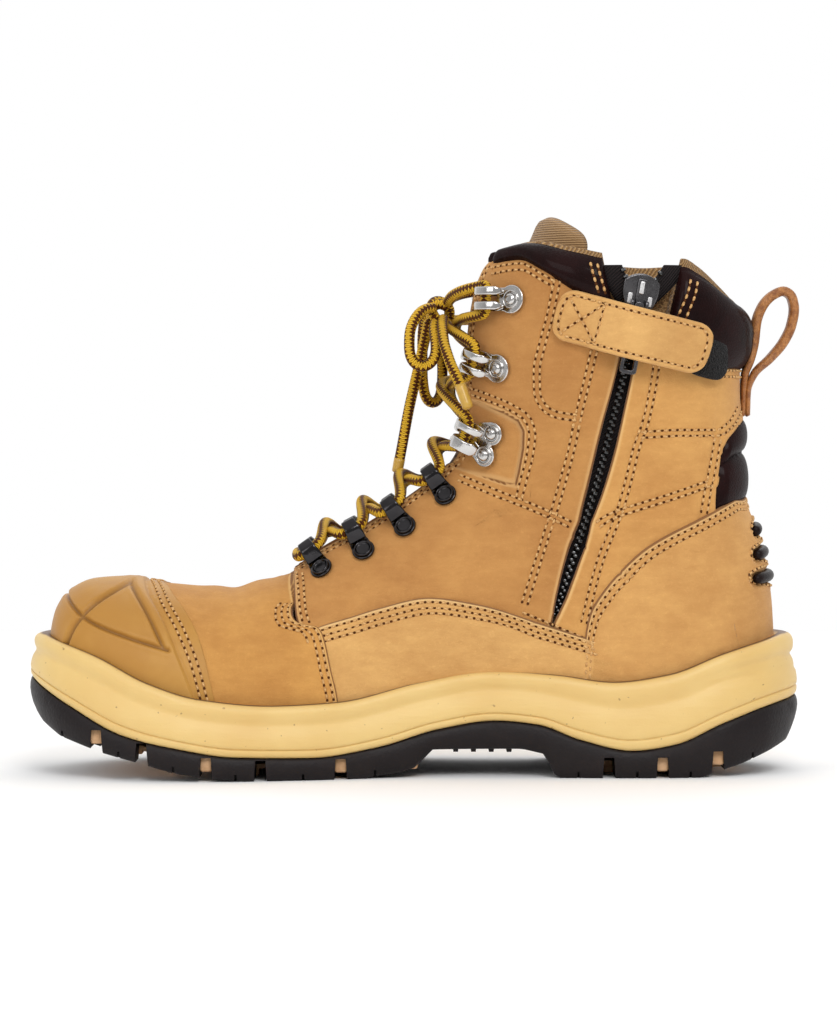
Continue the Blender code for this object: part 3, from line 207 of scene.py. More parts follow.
LAST = {side: last_half(side) for side in SIDES.values()}


FRONT_GIRTH, BACK_GIRTH = 3, 4


def girth_of(row, side, part=FRONT_GIRTH):
    """Twice the way from a row's front line to its widest place, or from there to its back."""
    return np.interp(row, ROWS, LAST[side][part])


def on_last(row, turn):
    """Points and outward normals of the last. turn is 0 on the front line, a half at the widest place and
    1 at the back or base of the inner half. It is below 0 or above 1 on the outer half."""
    row, turn = np.broadcast_arrays(np.asarray(row, float), np.asarray(turn, float))
    share = np.where(turn < 0, -turn, np.where(turn > 1, 2 - turn, turn))
    i = np.clip(row * ROW_STEPS, 0, len(ROWS) - 1.001)
    j = np.clip(share * SHARE_STEPS, 0, len(SHARES) - 1.001)
    i0, j0 = i.astype(int), j.astype(int)
    u, v = (i - i0)[..., None], (j - j0)[..., None]
    outer = ((turn < 0) | (turn > 1))[..., None]
    found = []
    for k in (0, 1):
        halves = []
        for side in (MEDIAL, LATERAL):
            table = LAST[side][k]
            low = table[i0, j0] * (1 - v) + table[i0, j0 + 1] * v
            high = table[i0 + 1, j0] * (1 - v) + table[i0 + 1, j0 + 1] * v
            halves.append(low * (1 - u) + high * u)
        found.append(np.where(outer, halves[1], halves[0]))
    points, normals = found
    return points, unit(normals)


def spot(x, z, side):
    """(row, share) of places of the side view."""
    found = []
    depths = LAST[side][2]
    for px, pz in zip(np.ravel(x), np.ravel(z)):
        lean = (BACK_X - FRONT_X) * (pz - FRONT_Z) - (BACK_Z - FRONT_Z) * (px - FRONT_X)
        signs = lean[ROW_STEPS:] > 0
        changes = signs != signs[0]
        i = ROW_STEPS + int(np.argmax(changes)) if changes.any() else len(ROWS) - 1
        u = lean[i - 1] / (lean[i - 1] - lean[i]) if lean[i - 1] != lean[i] else 0.0
        row = ROWS[i - 1] + u * (ROWS[i] - ROWS[i - 1])
        tables = (FRONT_X, FRONT_Z, BACK_X, BACK_Z)
        front_x, front_z, back_x, back_z = ((1 - u) * k[i - 1] + u * k[i] for k in tables)
        span = np.array([back_x - front_x, back_z - front_z])
        depth = ((px - front_x) * span[0] + (pz - front_z) * span[1]) / (span @ span)
        found.append((row, float(np.interp(depth, (1 - u) * depths[i - 1] + u * depths[i], SHARES))))
    return np.array(found)


def wall(x, z, side):
    """Points and outward normals at places of the side view."""
    places = spot(x, z, side)
    return on_last(places[:, 0], places[:, 1] * side)


def along_curve(knots, count):
    """Evenly spread points on a smooth curve through the knots."""
    knots = np.asarray(knots, float)
    length = run_of(knots)
    at = np.linspace(0, length[-1], count)
    return np.stack([smooth(at, length, knots[:, k]) for k in range(knots.shape[1])], axis=1)


def side_line(knots, side, count=60, around=False):
    """A curve of the side view as rows and turns on one side of the last."""
    curve = along_curve(knots, count)
    found = spot(curve[:, 0], curve[:, 1], side)
    if side == LATERAL:
        found[:, 1] = 2 - found[:, 1] if around else -found[:, 1]
    return found


FRINGE = np.array([0, 0.12, 0.3, 0.55, 0.9, 1.4, 1.9, 2.4, 2.9, 3.4, 3.9, 4.4, 4.9, 5.5, 6.2, 7, 8])


def spread(length, low, high, spacing):
    """Shares of a length, close together near an end that is raised."""
    low_part = FRINGE if low else FRINGE[:1]
    high_part = FRINGE if high else FRINGE[:1]
    room = length - low_part[-1] - high_part[-1]
    if room < 2 * spacing:
        return np.linspace(0, 1, max(int(length / 0.8), 6))
    between = np.linspace(low_part[-1], length - high_part[-1], max(int(room / spacing), 2) + 1)
    return np.concatenate([low_part, between[1:-1], (length - high_part)[::-1]]) / length


def resample(edge, shares):
    points, _ = on_last(*edge.T)
    length = np.concatenate([[0], np.cumsum(np.linalg.norm(np.diff(points, axis=0), axis=1) + 1e-6)])
    return blend(shares * length[-1], length, edge)


def straight(start, end):
    return start + (end - start) * np.linspace(0, 1, 40)[:, None]


def length_of(edge):
    points, _ = on_last(*edge.T)
    return float(np.linalg.norm(np.diff(points, axis=0), axis=1).sum())


def new_grid(name, points):
    """A grid primitive with its vertices moved to rows of points, in millimetres."""
    rows, columns = points.shape[:2]
    bpy.ops.object.select_all(action="DESELECT")
    bpy.ops.mesh.primitive_grid_add(x_subdivisions=columns - 1, y_subdivisions=rows - 1, size=1)
    piece = bpy.context.object
    piece.name = piece.data.name = name
    piece.data.vertices.foreach_set("co", (points * MM).ravel())
    piece.data.update()
    bpy.ops.object.shade_smooth()
    return piece


def weight(piece, name, values):
    """A named value for each vertex, for the piece's material to read."""
    attribute = piece.data.attributes.new(name, "FLOAT", "POINT")
    attribute.data.foreach_set("value", np.asarray(values, np.float32).ravel())


EDGE_ROUND, EDGE_DARK_REACH = 0.9, 1.6
SEAM_DIP, SEAM_HALF = 0.3, 0.55


def turn_faces(piece, normals, sign=1):
    """Turns a grid's faces the way of its normals, or with a sign of -1 the other way."""
    face = piece.data.polygons[len(piece.data.polygons) // 2]
    row, column = divmod(face.vertices[0], normals.shape[1])
    if sign * face.normal.dot(Vector(normals[row, column])) < 0:
        piece.data.flip_normals()


def panel(name, edges, level, drops, seams, spacing, relief=None, wear_and_shade=None):
    """A piece of leather on the last between four edges, a and b across it and c and d at its ends.
    level is its height over the last, drops how far each raised edge falls, seams the (edge, distance)
    of sunk stitches, relief its further height and wear_and_shade the painted shade on the leather elsewhere."""
    a, b = edges["a"], edges["b"]
    c = edges.get("c", straight(a[0], b[0]))
    d = edges.get("d", straight(a[-1], b[-1]))
    across = max(length_of(c), length_of(d), length_of(straight(a[len(a) // 2], b[len(b) // 2])))
    along = max(length_of(a), length_of(b))
    s = spread(across, "a" in drops, "b" in drops, spacing)
    t = spread(along, "c" in drops, "d" in drops, spacing)
    at_a, at_b = resample(a, t)[:, None], resample(b, t)[:, None]
    at_c, at_d = resample(c, s)[None], resample(d, s)[None]
    s, t = s[None, :, None], t[:, None, None]
    place = (1 - s) * at_a + s * at_b + (1 - t) * at_c + t * at_d
    place -= (1 - s) * (1 - t) * a[0] + s * (1 - t) * b[0] + (1 - s) * t * a[-1] + s * t * b[-1]
    points, normals = on_last(place[..., 0], place[..., 1])
    step_s = np.linalg.norm(np.diff(points, axis=1), axis=2)
    step_t = np.linalg.norm(np.diff(points, axis=0), axis=2)
    far = {"a": np.pad(np.cumsum(step_s, axis=1), ((0, 0), (1, 0))),
           "c": np.pad(np.cumsum(step_t, axis=0), ((1, 0), (0, 0)))}
    far["b"] = far["a"][:, -1:] - far["a"]
    far["d"] = far["c"][-1:] - far["c"]
    height = np.full(points.shape[:2], float(level))
    if relief:
        height += relief(points, far)
    rim = np.full(points.shape[:2], 99.0)
    for edge, drop in drops.items():
        inward = np.clip(1 - far[edge] / EDGE_ROUND, 0, 1)
        height -= drop * (1 - np.sqrt(1 - inward ** 2))
        rim = np.minimum(rim, far[edge])
    for edge, distance in seams:
        height -= SEAM_DIP * np.exp(-((far[edge] - distance) / SEAM_HALF) ** 2)
    top = points + normals * height[..., None]
    piece = new_grid(name, top)
    # The rim weight darkens the leather at raised edges, partly as their cut edge and partly as painted
    # shadow, and adds the painted shade given for the panel.
    cut_edge_and_shadow = np.exp(-rim / EDGE_DARK_REACH)
    weight(piece, "rim", np.maximum(cut_edge_and_shadow, wear_and_shade(points)) if wear_and_shade else cut_edge_and_shadow)
    turn_faces(piece, normals)
    return {"piece": piece, "points": top, "normals": normals, "far": far}


def seam_row(made, edge, distance, low=0.0, high=1.0):
    """Points and normals at a distance from an edge of a panel, over a stretch of the edge."""
    points, normals, far = made["points"], made["normals"], made["far"][edge]
    if edge in "cd":
        points, normals, far = points.swapaxes(0, 1), normals.swapaxes(0, 1), far.T
    if edge in "bd":
        points, normals, far = points[:, ::-1], normals[:, ::-1], far[:, ::-1]
    count = len(points)
    wanted = slice(int(low * (count - 1)), int(high * (count - 1)) + 1)
    found = []
    for table in (points, normals):
        found.append(np.array([[np.interp(distance, f, p[:, k]) for k in range(3)]
                               for p, f in zip(table[wanted], far[wanted])]))
    return found


def surface_row(knots, side, offset=0.0, count=80):
    """Points and normals along a curve of the side view, moved sideways by an offset."""
    curve = along_curve(knots, count)
    ahead = unit(np.gradient(curve, axis=0))
    curve = curve + offset * np.stack([-ahead[:, 1], ahead[:, 0]], axis=1)
    return wall(curve[:, 0], curve[:, 1], side)


class Shade:
    """A socket of a material's nodes that takes part in sums, so that shader maths reads as Python."""

    def __init__(self, tree, socket):
        self.tree, self.socket = tree, socket

    def node(self, kind, sockets, out=0, **settings):
        made = self.tree.nodes.new(kind)
        for name, value in settings.items():
            setattr(made, name, value)
        for name, value in sockets.items():
            if isinstance(value, Shade):
                self.tree.links.new(value.socket, made.inputs[name])
            else:
                made.inputs[name].default_value = value
        return Shade(self.tree, made.outputs[out])

    def sum(self, operation, first, second):
        return self.node("ShaderNodeMath", {0: first, 1: second}, operation=operation)

    def __add__(self, other):
        return self.sum("ADD", self, other)

    def __rsub__(self, other):
        return self.sum("SUBTRACT", other, self)

    def __mul__(self, other):
        return self.sum("MULTIPLY", self, other)

    __radd__, __rmul__ = __add__, __mul__

    def between(self, low, high):
        """0 below low and 1 above high."""
        return self.node("ShaderNodeMapRange", {0: self, 1: low, 2: high}, interpolation_type="SMOOTHSTEP")

    def mixed(self, first, second):
        """From the first colour to the second as this value goes from 0 to 1."""
        return self.node("ShaderNodeMix", {0: self, 6: first, 7: second}, out=2, data_type="RGBA")

    def noise(self, scale, detail=3.0, roughness=0.6):
        return self.node("ShaderNodeTexNoise", {"Vector": self, "Scale": scale, "Detail": detail,
                                                "Roughness": roughness})

    def named(self, name):
        return self.node("ShaderNodeAttribute", {}, out=2, attribute_name=name)


def material(name, **values):
    """A new material: its object coordinates and its surface shader, with constant values set."""
    made = bpy.data.materials.new(name)
    made.use_nodes = True
    tree = made.node_tree
    surface = tree.nodes["Principled BSDF"]
    for socket, value in values.items():
        surface.inputs[socket.replace("_", " ")].default_value = value
    coords = tree.nodes.new("ShaderNodeTexCoord")
    return made, Shade(tree, coords.outputs["Object"]), surface


def feed(surface, **links):
    for socket, value in links.items():
        value.tree.links.new(value.socket, surface.inputs[socket.replace("_", " ")])


def bump(height, distance, strength, under=None):
    sockets = {"Height": height, "Distance": distance, "Strength": strength}
    if under:
        sockets["Normal"] = under
    return height.node("ShaderNodeBump", sockets)


def rgb(red, green, blue):
    return (red, green, blue, 1.0)


def nubuck_finish(name, tint):
    """Buffed wheat leather, cloudy where its nap lies either way, with a paler line beside dark edges.
    The dark edge colour is partly the cut edge and partly painted shadow, and it also paints the shade in the
    rim weight.
    """
    made, at, surface = material(name, Sheen_Weight=0.1, Sheen_Roughness=0.5, Specular_IOR_Level=0.25)
    light, dark, edge, cut = (rgb(*(c * t for c, t in zip(tone, tint))) for tone in (
        (0.675, 0.345, 0.108), (0.475, 0.212, 0.058), (0.66, 0.37, 0.14), (0.24, 0.10, 0.03)))
    cloud = at.noise(26.0, 4.0).between(0.32, 0.68)
    brushed = at.node("ShaderNodeMapping", {"Vector": at, "Scale": (1.0, 1.0, 2.4)}).noise(110.0, 5.0, 0.7)
    fleck = at.noise(900.0, 2.0).between(0.55, 0.75)
    tone = cloud * 0.5 + brushed.between(0.3, 0.75) * 0.32 + fleck * 0.18
    rim = at.named("rim")
    pale = rim.between(0.2, 0.42).mixed(tone.mixed(dark, light), edge)
    # Painted shadow: the cut colour darkens raised edges, partly as their cut side and partly as the shadow
    # beside them, and darkens the painted shade carried in the rim weight.
    colour = rim.between(0.5, 0.68).mixed(pale, cut)
    nap = at.noise(2600.0, 3.0, 0.7) * 0.6 + at.noise(700.0, 4.0) * 0.4
    feed(surface, Base_Color=colour, Roughness=0.78 + 0.14 * cloud,
         Normal=bump(nap, 0.0004, 0.6, bump(brushed, 0.0007, 0.4)))
    return made


NUBUCK = {
    # each piece's tint is partly its own tone and partly painted light and shade: darker on the quarters'
    # fronts, paler on the rear, the side panels and the counter
    "quarter": nubuck_finish("nubuck_quarter", (0.87, 0.86, 0.85)),
    "rear": nubuck_finish("nubuck_rear", (1.06, 1.12, 1.13)),
    "side": nubuck_finish("nubuck_side", (1.12, 1.29, 1.48)),
    "counter": nubuck_finish("nubuck_counter", (1.06, 1.15, 1.24)),
    "vamp": nubuck_finish("nubuck_vamp", (1.0, 1.02, 0.90)),
}

THROAT_GAP = ((9, 2), (9.3, 7), (10, 9), (12, 10), (15, 11), (20, 13), (22, 14))
LEATHER_TOP = ((-131, 163), (-124, 163), (-112, 165.5), (-95, 174), (-80, 182.5), (-62, 192.6),
               (-50, 200.6), (-41, 205), (-31, 203.8), (-20, 195))
ZIP_LINE = ((36, -47), (58, -53.4), (71, -57.6), (80, -60.4), (90, -63.6), (104.5, -68.2), (117, -71.9),
            (130, -75.2), (141, -77.8), (155, -81.2), (165, -83.3), (191, -88.1), (204, -90))
SLIT_HALF = ((58, 0.1), (61, 0.25), (66, 1.1), (71, 1.8), (80, 2.4), (90, 2.8), (96, 2.6), (100, 2.1),
             (104, 2.5), (110, 2.9), (117, 3.2), (130, 3.5), (140, 3.4), (150, 3.1), (165, 2.7),
             (180, 3.2), (215, 4))
QUARTER_WALL, TIP_LIFT = 1.9, 1.7
THROAT_ROW, SHAFT_ROW = 9.15, 21.9


def throat_edge(side, low, high, count=90):
    """The quarter's edge beside the throat, as rows and turns."""
    rows = np.linspace(low, high, count)
    girth = girth_of(rows, side)
    gap = table_at(THROAT_GAP, rows)
    return np.stack([rows, side * gap / girth], axis=1)


FOOT_Z, SLIT_TOP = 47.5, 186.0


def slit_edge(toward, side):
    """One edge of the zip's slit in the inner quarter, or the same line on the whole outer quarter."""
    z = np.linspace(FOOT_Z, SLIT_TOP, 90)
    half = table_at(SLIT_HALF, z) if side == MEDIAL else 0.0
    edge = spot(line(ZIP_LINE, z) + toward * half, z, side) * (1, side)
    return edge[edge[:, 0] <= top_row(edge, LEATHER_TOP)]


def top_row(edge, table):
    """Row where an edge that runs up the boot meets a line of the side view."""
    points, _ = on_last(*edge.T)
    under = points[:, 2] < line(table, points[:, 0])
    return edge[int(np.argmin(under)), 0] if not under.all() else edge[-1, 0]


def below(table, drop, start, end, count=24):
    """A line of the side view that follows a table, lower by a drop."""
    return [(x, float(line(table, x)) - drop) for x in np.linspace(start, end, count)]


ROW_GAP = 2.35


def seam_relief(points, seams):
    """Sunk stitch lines, with the leather beside one side of each standing a little higher."""
    flat = points[..., (0, 2)]
    height = np.zeros(points.shape[:2])
    for knots, step in seams:
        curve = along_curve(knots, 90)
        ahead = unit(np.gradient(curve, axis=0))
        gap = flat[:, :, None, :] - curve
        near = np.argmin((gap ** 2).sum(axis=3), axis=2)
        offset = np.take_along_axis(gap, near[:, :, None, None], axis=2)[:, :, 0]
        away = np.linalg.norm(offset, axis=2)
        aside = offset[..., 0] * -ahead[near, 1] + offset[..., 1] * ahead[near, 0]
        height += step * ease(aside, ROW_GAP / 2 + 0.2, ROW_GAP / 2 + 1.1) * np.exp(-(away / 13.0) ** 2)
        for row in (-ROW_GAP / 2, ROW_GAP / 2):
            end = np.exp(-((np.maximum(away - np.abs(aside), 0)) / 2.0) ** 2)
            height -= 0.28 * np.exp(-((aside - row) / 0.7) ** 2) * end
    return height


FACING_SEAM = ((-56, 196), (-55.2, 192.5), (-52.6, 180), (-49.8, 169.5), (-47.8, 159.5), (-48, 151.5),
               (-50.6, 145.5), (-55.4, 142.5), (-64, 141))
ZIP_FRONT_SEAM = ((-70.2, 168), (-67.3, 155.5), (-64.4, 143.5), (-61.6, 129.5), (-58.2, 116.5),
                  (-54.8, 104.5), (-48.6, 85.5), (-43.2, 68.5))
ZIP_REAR_SEAM = ((-94.8, 163), (-93.6, 155), (-90.4, 139.5), (-86.9, 129.5), (-83.9, 117), (-80.4, 104.5),
                 (-73, 85.5), (-66.4, 61))
BACK_UPPER_SEAM = ((-88, 134.4), (-105, 135.2), (-119, 135.2), (-125, 138.6), (-129.5, 144.5))
BACK_LOWER_SEAM = ((-71.4, 98.8), (-75.5, 101.6), (-80.5, 103.8), (-88, 106.2), (-102, 110.5),
                   (-116.5, 115.4))
BACK_SEAM = ((-119.2, 133.5), (-116.8, 119), (-114, 104))
WINDOW_SEAM = ((-17.5, 153.4), (-25.5, 150.5), (-37.4, 145.5), (-44.4, 140.5), (-46.2, 134.5),
               (-45.4, 127), (-42.9, 116.5), (-41, 109))
WINDOW_FOOT_SEAM = ((-17, 117.6), (-25.5, 114.1), (-33, 111), (-40.9, 108), (-52.6, 103.2), (-60.6, 99.4))
WINDOW = ((-8, 153), (-25.5, 147.5), (-35.4, 143.5), (-41, 140.2), (-43.2, 136), (-43, 129), (-41.4, 120),
          (-40, 114.2), (-35.4, 115), (-25.5, 118), (-8, 123.5))
WING_FOOT_SEAM = ((-41.5, 65), (-50, 61.6), (-58, 58.2), (-65.6, 55))
medial_front_seams = [(FACING_SEAM, 0.35), (ZIP_FRONT_SEAM, 0.3), (WINDOW_SEAM, 0.0), (WINDOW_FOOT_SEAM, 0.0)]
medial_back_seams = [(ZIP_REAR_SEAM, 0.3), (BACK_UPPER_SEAM, 0.4), (BACK_LOWER_SEAM, -0.4), (BACK_SEAM, 0.3)]
OUTER_UPPER_SEAM = FACING_SEAM + ((-76.0, 138.0),) + BACK_UPPER_SEAM
OUTER_LOWER_SEAM = WINDOW_FOOT_SEAM[:-1] + ((-61.0, 100.8), (-71.4, 101.2)) + BACK_LOWER_SEAM[2:]
lateral_seams = [(OUTER_UPPER_SEAM, 0.35), (WINDOW_SEAM, 0.0), (OUTER_LOWER_SEAM, -0.2), (BACK_SEAM, 0.3)]
def off_curve(points, curve):
    """How far points lie from a curve of the side view."""
    return np.linalg.norm(points[..., None, (0, 2)] - curve, axis=3).min(axis=2)


PAD_BORDER = ((-133, 142.5), (-126.4, 136), (-121.9, 130), (-120.3, 124), (-119.9, 118), (-118.4, 104))


def beside_pad(points):
    """The leather's cut edge stands proud where the heel pad comes out from under it."""
    curve = along_curve(PAD_BORDER, 60)
    away = off_curve(points, curve)
    inside = points[..., 0] < np.interp(points[..., 2], curve[::-1, 1], curve[::-1, 0])
    return np.where(inside, -1.2 * ease(away, 0.0, 0.8), 0.9 * np.exp(-(away / 5.0) ** 2))


def window_edge(points):
    """Whether points lie in the ankle hook's window, and how far from its edge."""
    flat = points[..., (0, 2)]
    corners = np.array(WINDOW)
    inside = np.zeros(flat.shape[:2], bool)
    away = np.full(flat.shape[:2], 99.0)
    for start, end in zip(corners, np.roll(corners, -1, axis=0)):
        span = end - start
        share = np.clip(((flat - start) @ span) / (span @ span), 0, 1)
        away = np.minimum(away, np.linalg.norm(flat - start - share[..., None] * span, axis=2))
        crosses = (start[1] > flat[..., 1]) != (end[1] > flat[..., 1])
        border = start[0] + (flat[..., 1] - start[1]) * span[0] / (span[1] or 1e-9)
        inside ^= crosses & (flat[..., 0] < border)
    return inside, away


def window_relief(points):
    """The window is cut through the outer leather and sunk by its thickness."""
    inside, away = window_edge(points)
    depth = 0.9 + 0.7 * ease(points[..., 0], -36.0, -41.0)
    return 0.3 * np.exp(-(away / 3.0) ** 2) - np.where(inside, depth * ease(away, 0.0, 2.2), 0.0)


def window_painted_shadow(points):
    """Painted shadow inside the window's edge and just outside it, most of all at the rear."""
    inside, away = window_edge(points)
    rear = 0.55 + 0.45 * ease(points[..., 0], -18.0, -34.0)
    return rear * np.where(inside, np.exp(-away / 2.4), np.exp(-away / 0.8)) * 0.8


def front_lift(points, far):
    """The quarter's lower front edge lies over the vamp."""
    return TIP_LIFT * np.exp(-(far["c"] / 12.0) ** 2) * ease(points[..., 0], 24.0, 42.0)


def dress(piece, finish, slot, *nodes):
    """Puts a finished piece on the boot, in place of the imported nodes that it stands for."""
    piece.data.materials.append(finish)
    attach(piece, "boot")
    if nodes:
        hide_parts(*nodes)


UNDER_WING = ((47.5, 66), (45.8, 58.6), (40, 56), (30, 54), (13, 58), (-6, 62), (-25, 60))
UNDER_COUNTER = ((-54, 48), (-70, 55), (-84, 74), (-100, 86), (-120, 94), (-139, 96))
QUARTER_ROWS, TOP_ROWS = (2.3, 4.8), (3.0, 5.5)
BACK_FOOT, BACK_TOP = 16.3, 19.04
quarters = {}
for side_name, side in SIDES.items():
    front_seams = medial_front_seams if side == MEDIAL else lateral_seams
    back_seams = medial_back_seams if side == MEDIAL else lateral_seams
    at_slit = {"b": QUARTER_WALL} if side == MEDIAL else {}

    def back_relief(points, far):
        return seam_relief(points, back_seams) + beside_pad(points)

    def front_relief(points, far):
        return seam_relief(points, front_seams) + front_lift(points, far) + window_relief(points)

    throat = throat_edge(side, THROAT_ROW, SHAFT_ROW)
    throat = throat_edge(side, THROAT_ROW, top_row(throat, LEATHER_TOP))
    start_x, _, start_z = on_last(throat[0, 0], throat[0, 1])[0]
    top_x = on_last(throat[-1, 0], throat[-1, 1])[0][0]
    front_slit = slit_edge(1.0, side)
    slit_x = on_last(front_slit[-1, 0], front_slit[-1, 1])[0][0]
    top = side_line(below(LEATHER_TOP, 0.0, top_x, slit_x, 14), side)
    foot = [(start_x, start_z)] + list(UNDER_WING) + [(float(line(ZIP_LINE, FOOT_Z)), FOOT_Z)]
    quarters["front", side] = panel(
        "quarter_" + side_name + "_front",
        {"a": throat, "b": front_slit,
         "c": np.concatenate([throat[:1], side_line(foot, side)[1:-1], front_slit[:1]]),
         "d": np.concatenate([throat[-1:], top[1:-1], front_slit[-1:]])},
        0.0, {"a": QUARTER_WALL, "c": TIP_LIFT, **at_slit}, [("a", d) for d in QUARTER_ROWS], 0.8,
        front_relief, window_painted_shadow)

    rear_slit = slit_edge(-1.0, side)
    slit_x = on_last(rear_slit[-1, 0], rear_slit[-1, 1])[0][0]
    top = side_line(below(LEATHER_TOP, 0.0, slit_x, -130.2, 14), side)
    back = np.stack([np.linspace(BACK_FOOT, BACK_TOP, 60), np.full(60, float(side))], axis=1)
    under = np.concatenate([side_line(UNDER_COUNTER, side, 120)[:-1], back[:1]])
    ankle = HEEL_ROW + 0.05
    start, end = ((ankle, float(np.interp(ankle, edge[:, 0], edge[:, 1]))) for edge in (rear_slit, under))
    across = straight(np.array(start), np.array(end))
    at_slit = {"a": QUARTER_WALL} if side == MEDIAL else {}
    quarters["rear", side] = panel(
        "quarter_" + side_name + "_rear",
        {"a": np.concatenate([[start], rear_slit[rear_slit[:, 0] > ankle]]), "b": back,
         "c": np.concatenate([across, under[under[:, 0] > ankle]]),
         "d": np.concatenate([rear_slit[-1:], top[1:-1], back[-1:]])},
        0.0, at_slit, (), 1.0, back_relief)
    quarters["ankle", side] = panel(
        "quarter_" + side_name + "_ankle",
        {"a": np.concatenate([rear_slit[rear_slit[:, 0] < ankle], [start]]),
         "b": np.concatenate([under[under[:, 0] < ankle], [end]]), "d": across},
        0.0, at_slit, (), 1.0, back_relief)

for (place, side), made in quarters.items():
    hide = "quarter" if place == "front" or side == LATERAL else "rear"
    dress(made["piece"], NUBUCK[hide], "nubuck", "upper")


# Stitching
# Waxed tan thread sewn in double rows. Each stitch is a short raised thread between two needle holes,
# and the stitches of one panel are joined to one mesh.

STITCH_PITCH = 2.95
STITCH_SIZE = (1.05, 0.56, 0.58)
HOLE_SIZE, HOLE_SIDES = (0.66, 0.56), 7
SEAM_LIFT, NEEDLE_START, NEEDLE_REACH = 0.06, 6.0, 0.011

bpy.ops.object.select_all(action="DESELECT")
bpy.ops.mesh.primitive_uv_sphere_add(segments=6, ring_count=5, radius=1)
thread_model = bpy.context.object
bpy.ops.transform.rotate(value=math.pi / 2, orient_axis="Y", center_override=(0, 0, 0))
bpy.ops.object.transform_apply()
thread_shape = np.array([v.co for v in thread_model.data.vertices])
thread_faces = [tuple(p.vertices) for p in thread_model.data.polygons]
bpy.data.objects.remove(thread_model)
thread_shape = np.sign(thread_shape) * np.abs(thread_shape) ** 0.8 * STITCH_SIZE
thread_shape[:, 2] += 0.16 - 0.3 * (thread_shape[:, 0] / STITCH_SIZE[0]) ** 2
hole_turns = np.arange(HOLE_SIDES) * 2 * math.pi / HOLE_SIDES
hole_rise = np.full(HOLE_SIDES, 0.07)
hole_shape = np.stack([np.cos(hole_turns), np.sin(hole_turns), hole_rise], axis=1) * (*HOLE_SIZE, 1)

thread_finish, at, surface = material("thread", Roughness=0.62, Specular_IOR_Level=0.35)
twist = at.noise(1500.0, 2.0)
feed(surface, Base_Color=twist.between(0.3, 0.7).mixed(rgb(0.46, 0.23, 0.072), rgb(0.74, 0.46, 0.19)),
     Normal=bump(twist, 0.0003, 0.6))
# The needle holes are flat dark discs: painted shade where the thread goes into the leather.
hole_shade_finish, at, surface = material("needle_hole", Roughness=0.95, Specular_IOR_Level=0.1)
feed(surface, Base_Color=at.noise(700.0).mixed(rgb(0.04, 0.012, 0.004), rgb(0.12, 0.042, 0.013)))


def stitch_places(points, normals):
    """Centres, axes and spacing of even stitches along a row of points."""
    length = run_of(points)
    count = max(int(length[-1] / STITCH_PITCH), 1)
    at = (np.arange(count) + 0.5) * length[-1] / count
    centre = blend(at, length, points)
    ahead = unit(blend(at + 0.6, length, points) - blend(at - 0.6, length, points))
    out = blend(at, length, normals)
    aside = unit(np.cross(out, ahead))
    return centre, np.stack([ahead, aside, np.cross(ahead, aside)], axis=1), length[-1] / count


def sew(name, rows):
    """One mesh of the stitches along rows of points and normals."""
    verts, faces, finishes, start = [], [], [], 0
    for points, normals in rows:
        centres, axes, step = stitch_places(points, normals)
        shapes = ((thread_shape, thread_faces, 0, 0.0), (hole_shape, [tuple(range(HOLE_SIDES))], 1, step / 2))
        for shape, shape_faces, finish, ahead in shapes:
            placed = centres[:, None] + np.einsum("vk,nkc->nvc", shape + (ahead, 0, 0), axes)
            verts.append(placed.reshape(-1, 3))
            for k in range(len(centres)):
                faces.extend(tuple(start + k * len(shape) + v for v in face) for face in shape_faces)
            finishes.extend([finish] * (len(centres) * len(shape_faces)))
            start += len(centres) * len(shape)
    mesh = bpy.data.meshes.new(name)
    mesh.from_pydata((np.concatenate(verts) * MM).tolist(), [], faces)
    mesh.materials.append(thread_finish)
    mesh.materials.append(hole_shade_finish)
    mesh.polygons.foreach_set("material_index", finishes)
    mesh.polygons.foreach_set("use_smooth", [True] * len(faces))
    piece = bpy.data.objects.new(name, mesh)
    bpy.context.scene.collection.objects.link(piece)
    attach(piece, "boot")
    return piece


def leather_skin(*made):
    """What the needle goes through, for settled to find."""
    verts, faces = [], []
    for one in made:
        start = len(verts)
        verts += [v.co.copy() for v in one["piece"].data.vertices]
        faces += [[start + v for v in p.vertices] for p in one["piece"].data.polygons]
    return BVHTree.FromPolygons(verts, faces)


def settled(rows, skin):
    """Rows of points moved down or up onto the leather."""
    found = []
    for points, normals in rows:
        moved = []
        for point, normal in zip(points, normals):
            above = Vector(point + normal * NEEDLE_START) * MM
            hit = skin.ray_cast(above, Vector(-normal), NEEDLE_REACH)[0]
            moved.append(point if hit is None else np.array(hit) * 1000 + normal * SEAM_LIFT)
        found.append((np.array(moved), normals))
    return found


def kept(row, wanted):
    """The stretch of a row that a test of its points wants."""
    points, normals = row
    mask = wanted(points)
    return points[mask], normals[mask]


for side_name, side in SIDES.items():
    front = quarters["front", side]
    rows = [seam_row(front, "a", d, 0.035, 0.985) for d in QUARTER_ROWS]
    rows += [kept(seam_row(front, "c", d), lambda p: (p[:, 0] > 40.5) & (p[:, 2] > 61.0) & (p[:, 2] < 80.0))
             for d in QUARTER_ROWS]
    seams = medial_front_seams + medial_back_seams if side == MEDIAL else lateral_seams
    rear_start = -99.0 if side == MEDIAL else -55.0
    for drop in TOP_ROWS:
        rows.append(surface_row(below(LEATHER_TOP, drop, -30.0, -55.0), side))
        rows.append(surface_row(below(LEATHER_TOP, drop, rear_start, -129.5), side))
    for knots, _ in seams:
        rows += [surface_row(knots, side, offset) for offset in (-ROW_GAP / 2, ROW_GAP / 2)]
    if side == MEDIAL:
        rows.append(surface_row(WING_FOOT_SEAM, side))
    skin = leather_skin(*(quarters[place, side] for place in ("front", "rear", "ankle")))
    sew("quarter_stitches_" + side_name, settled(rows, skin))


# Side panels
# A low wing of nubuck on each side, from the vamp back to the heel counter, sewn over the quarter with three
# rows along its curved upper edge and cast into the midsole below.

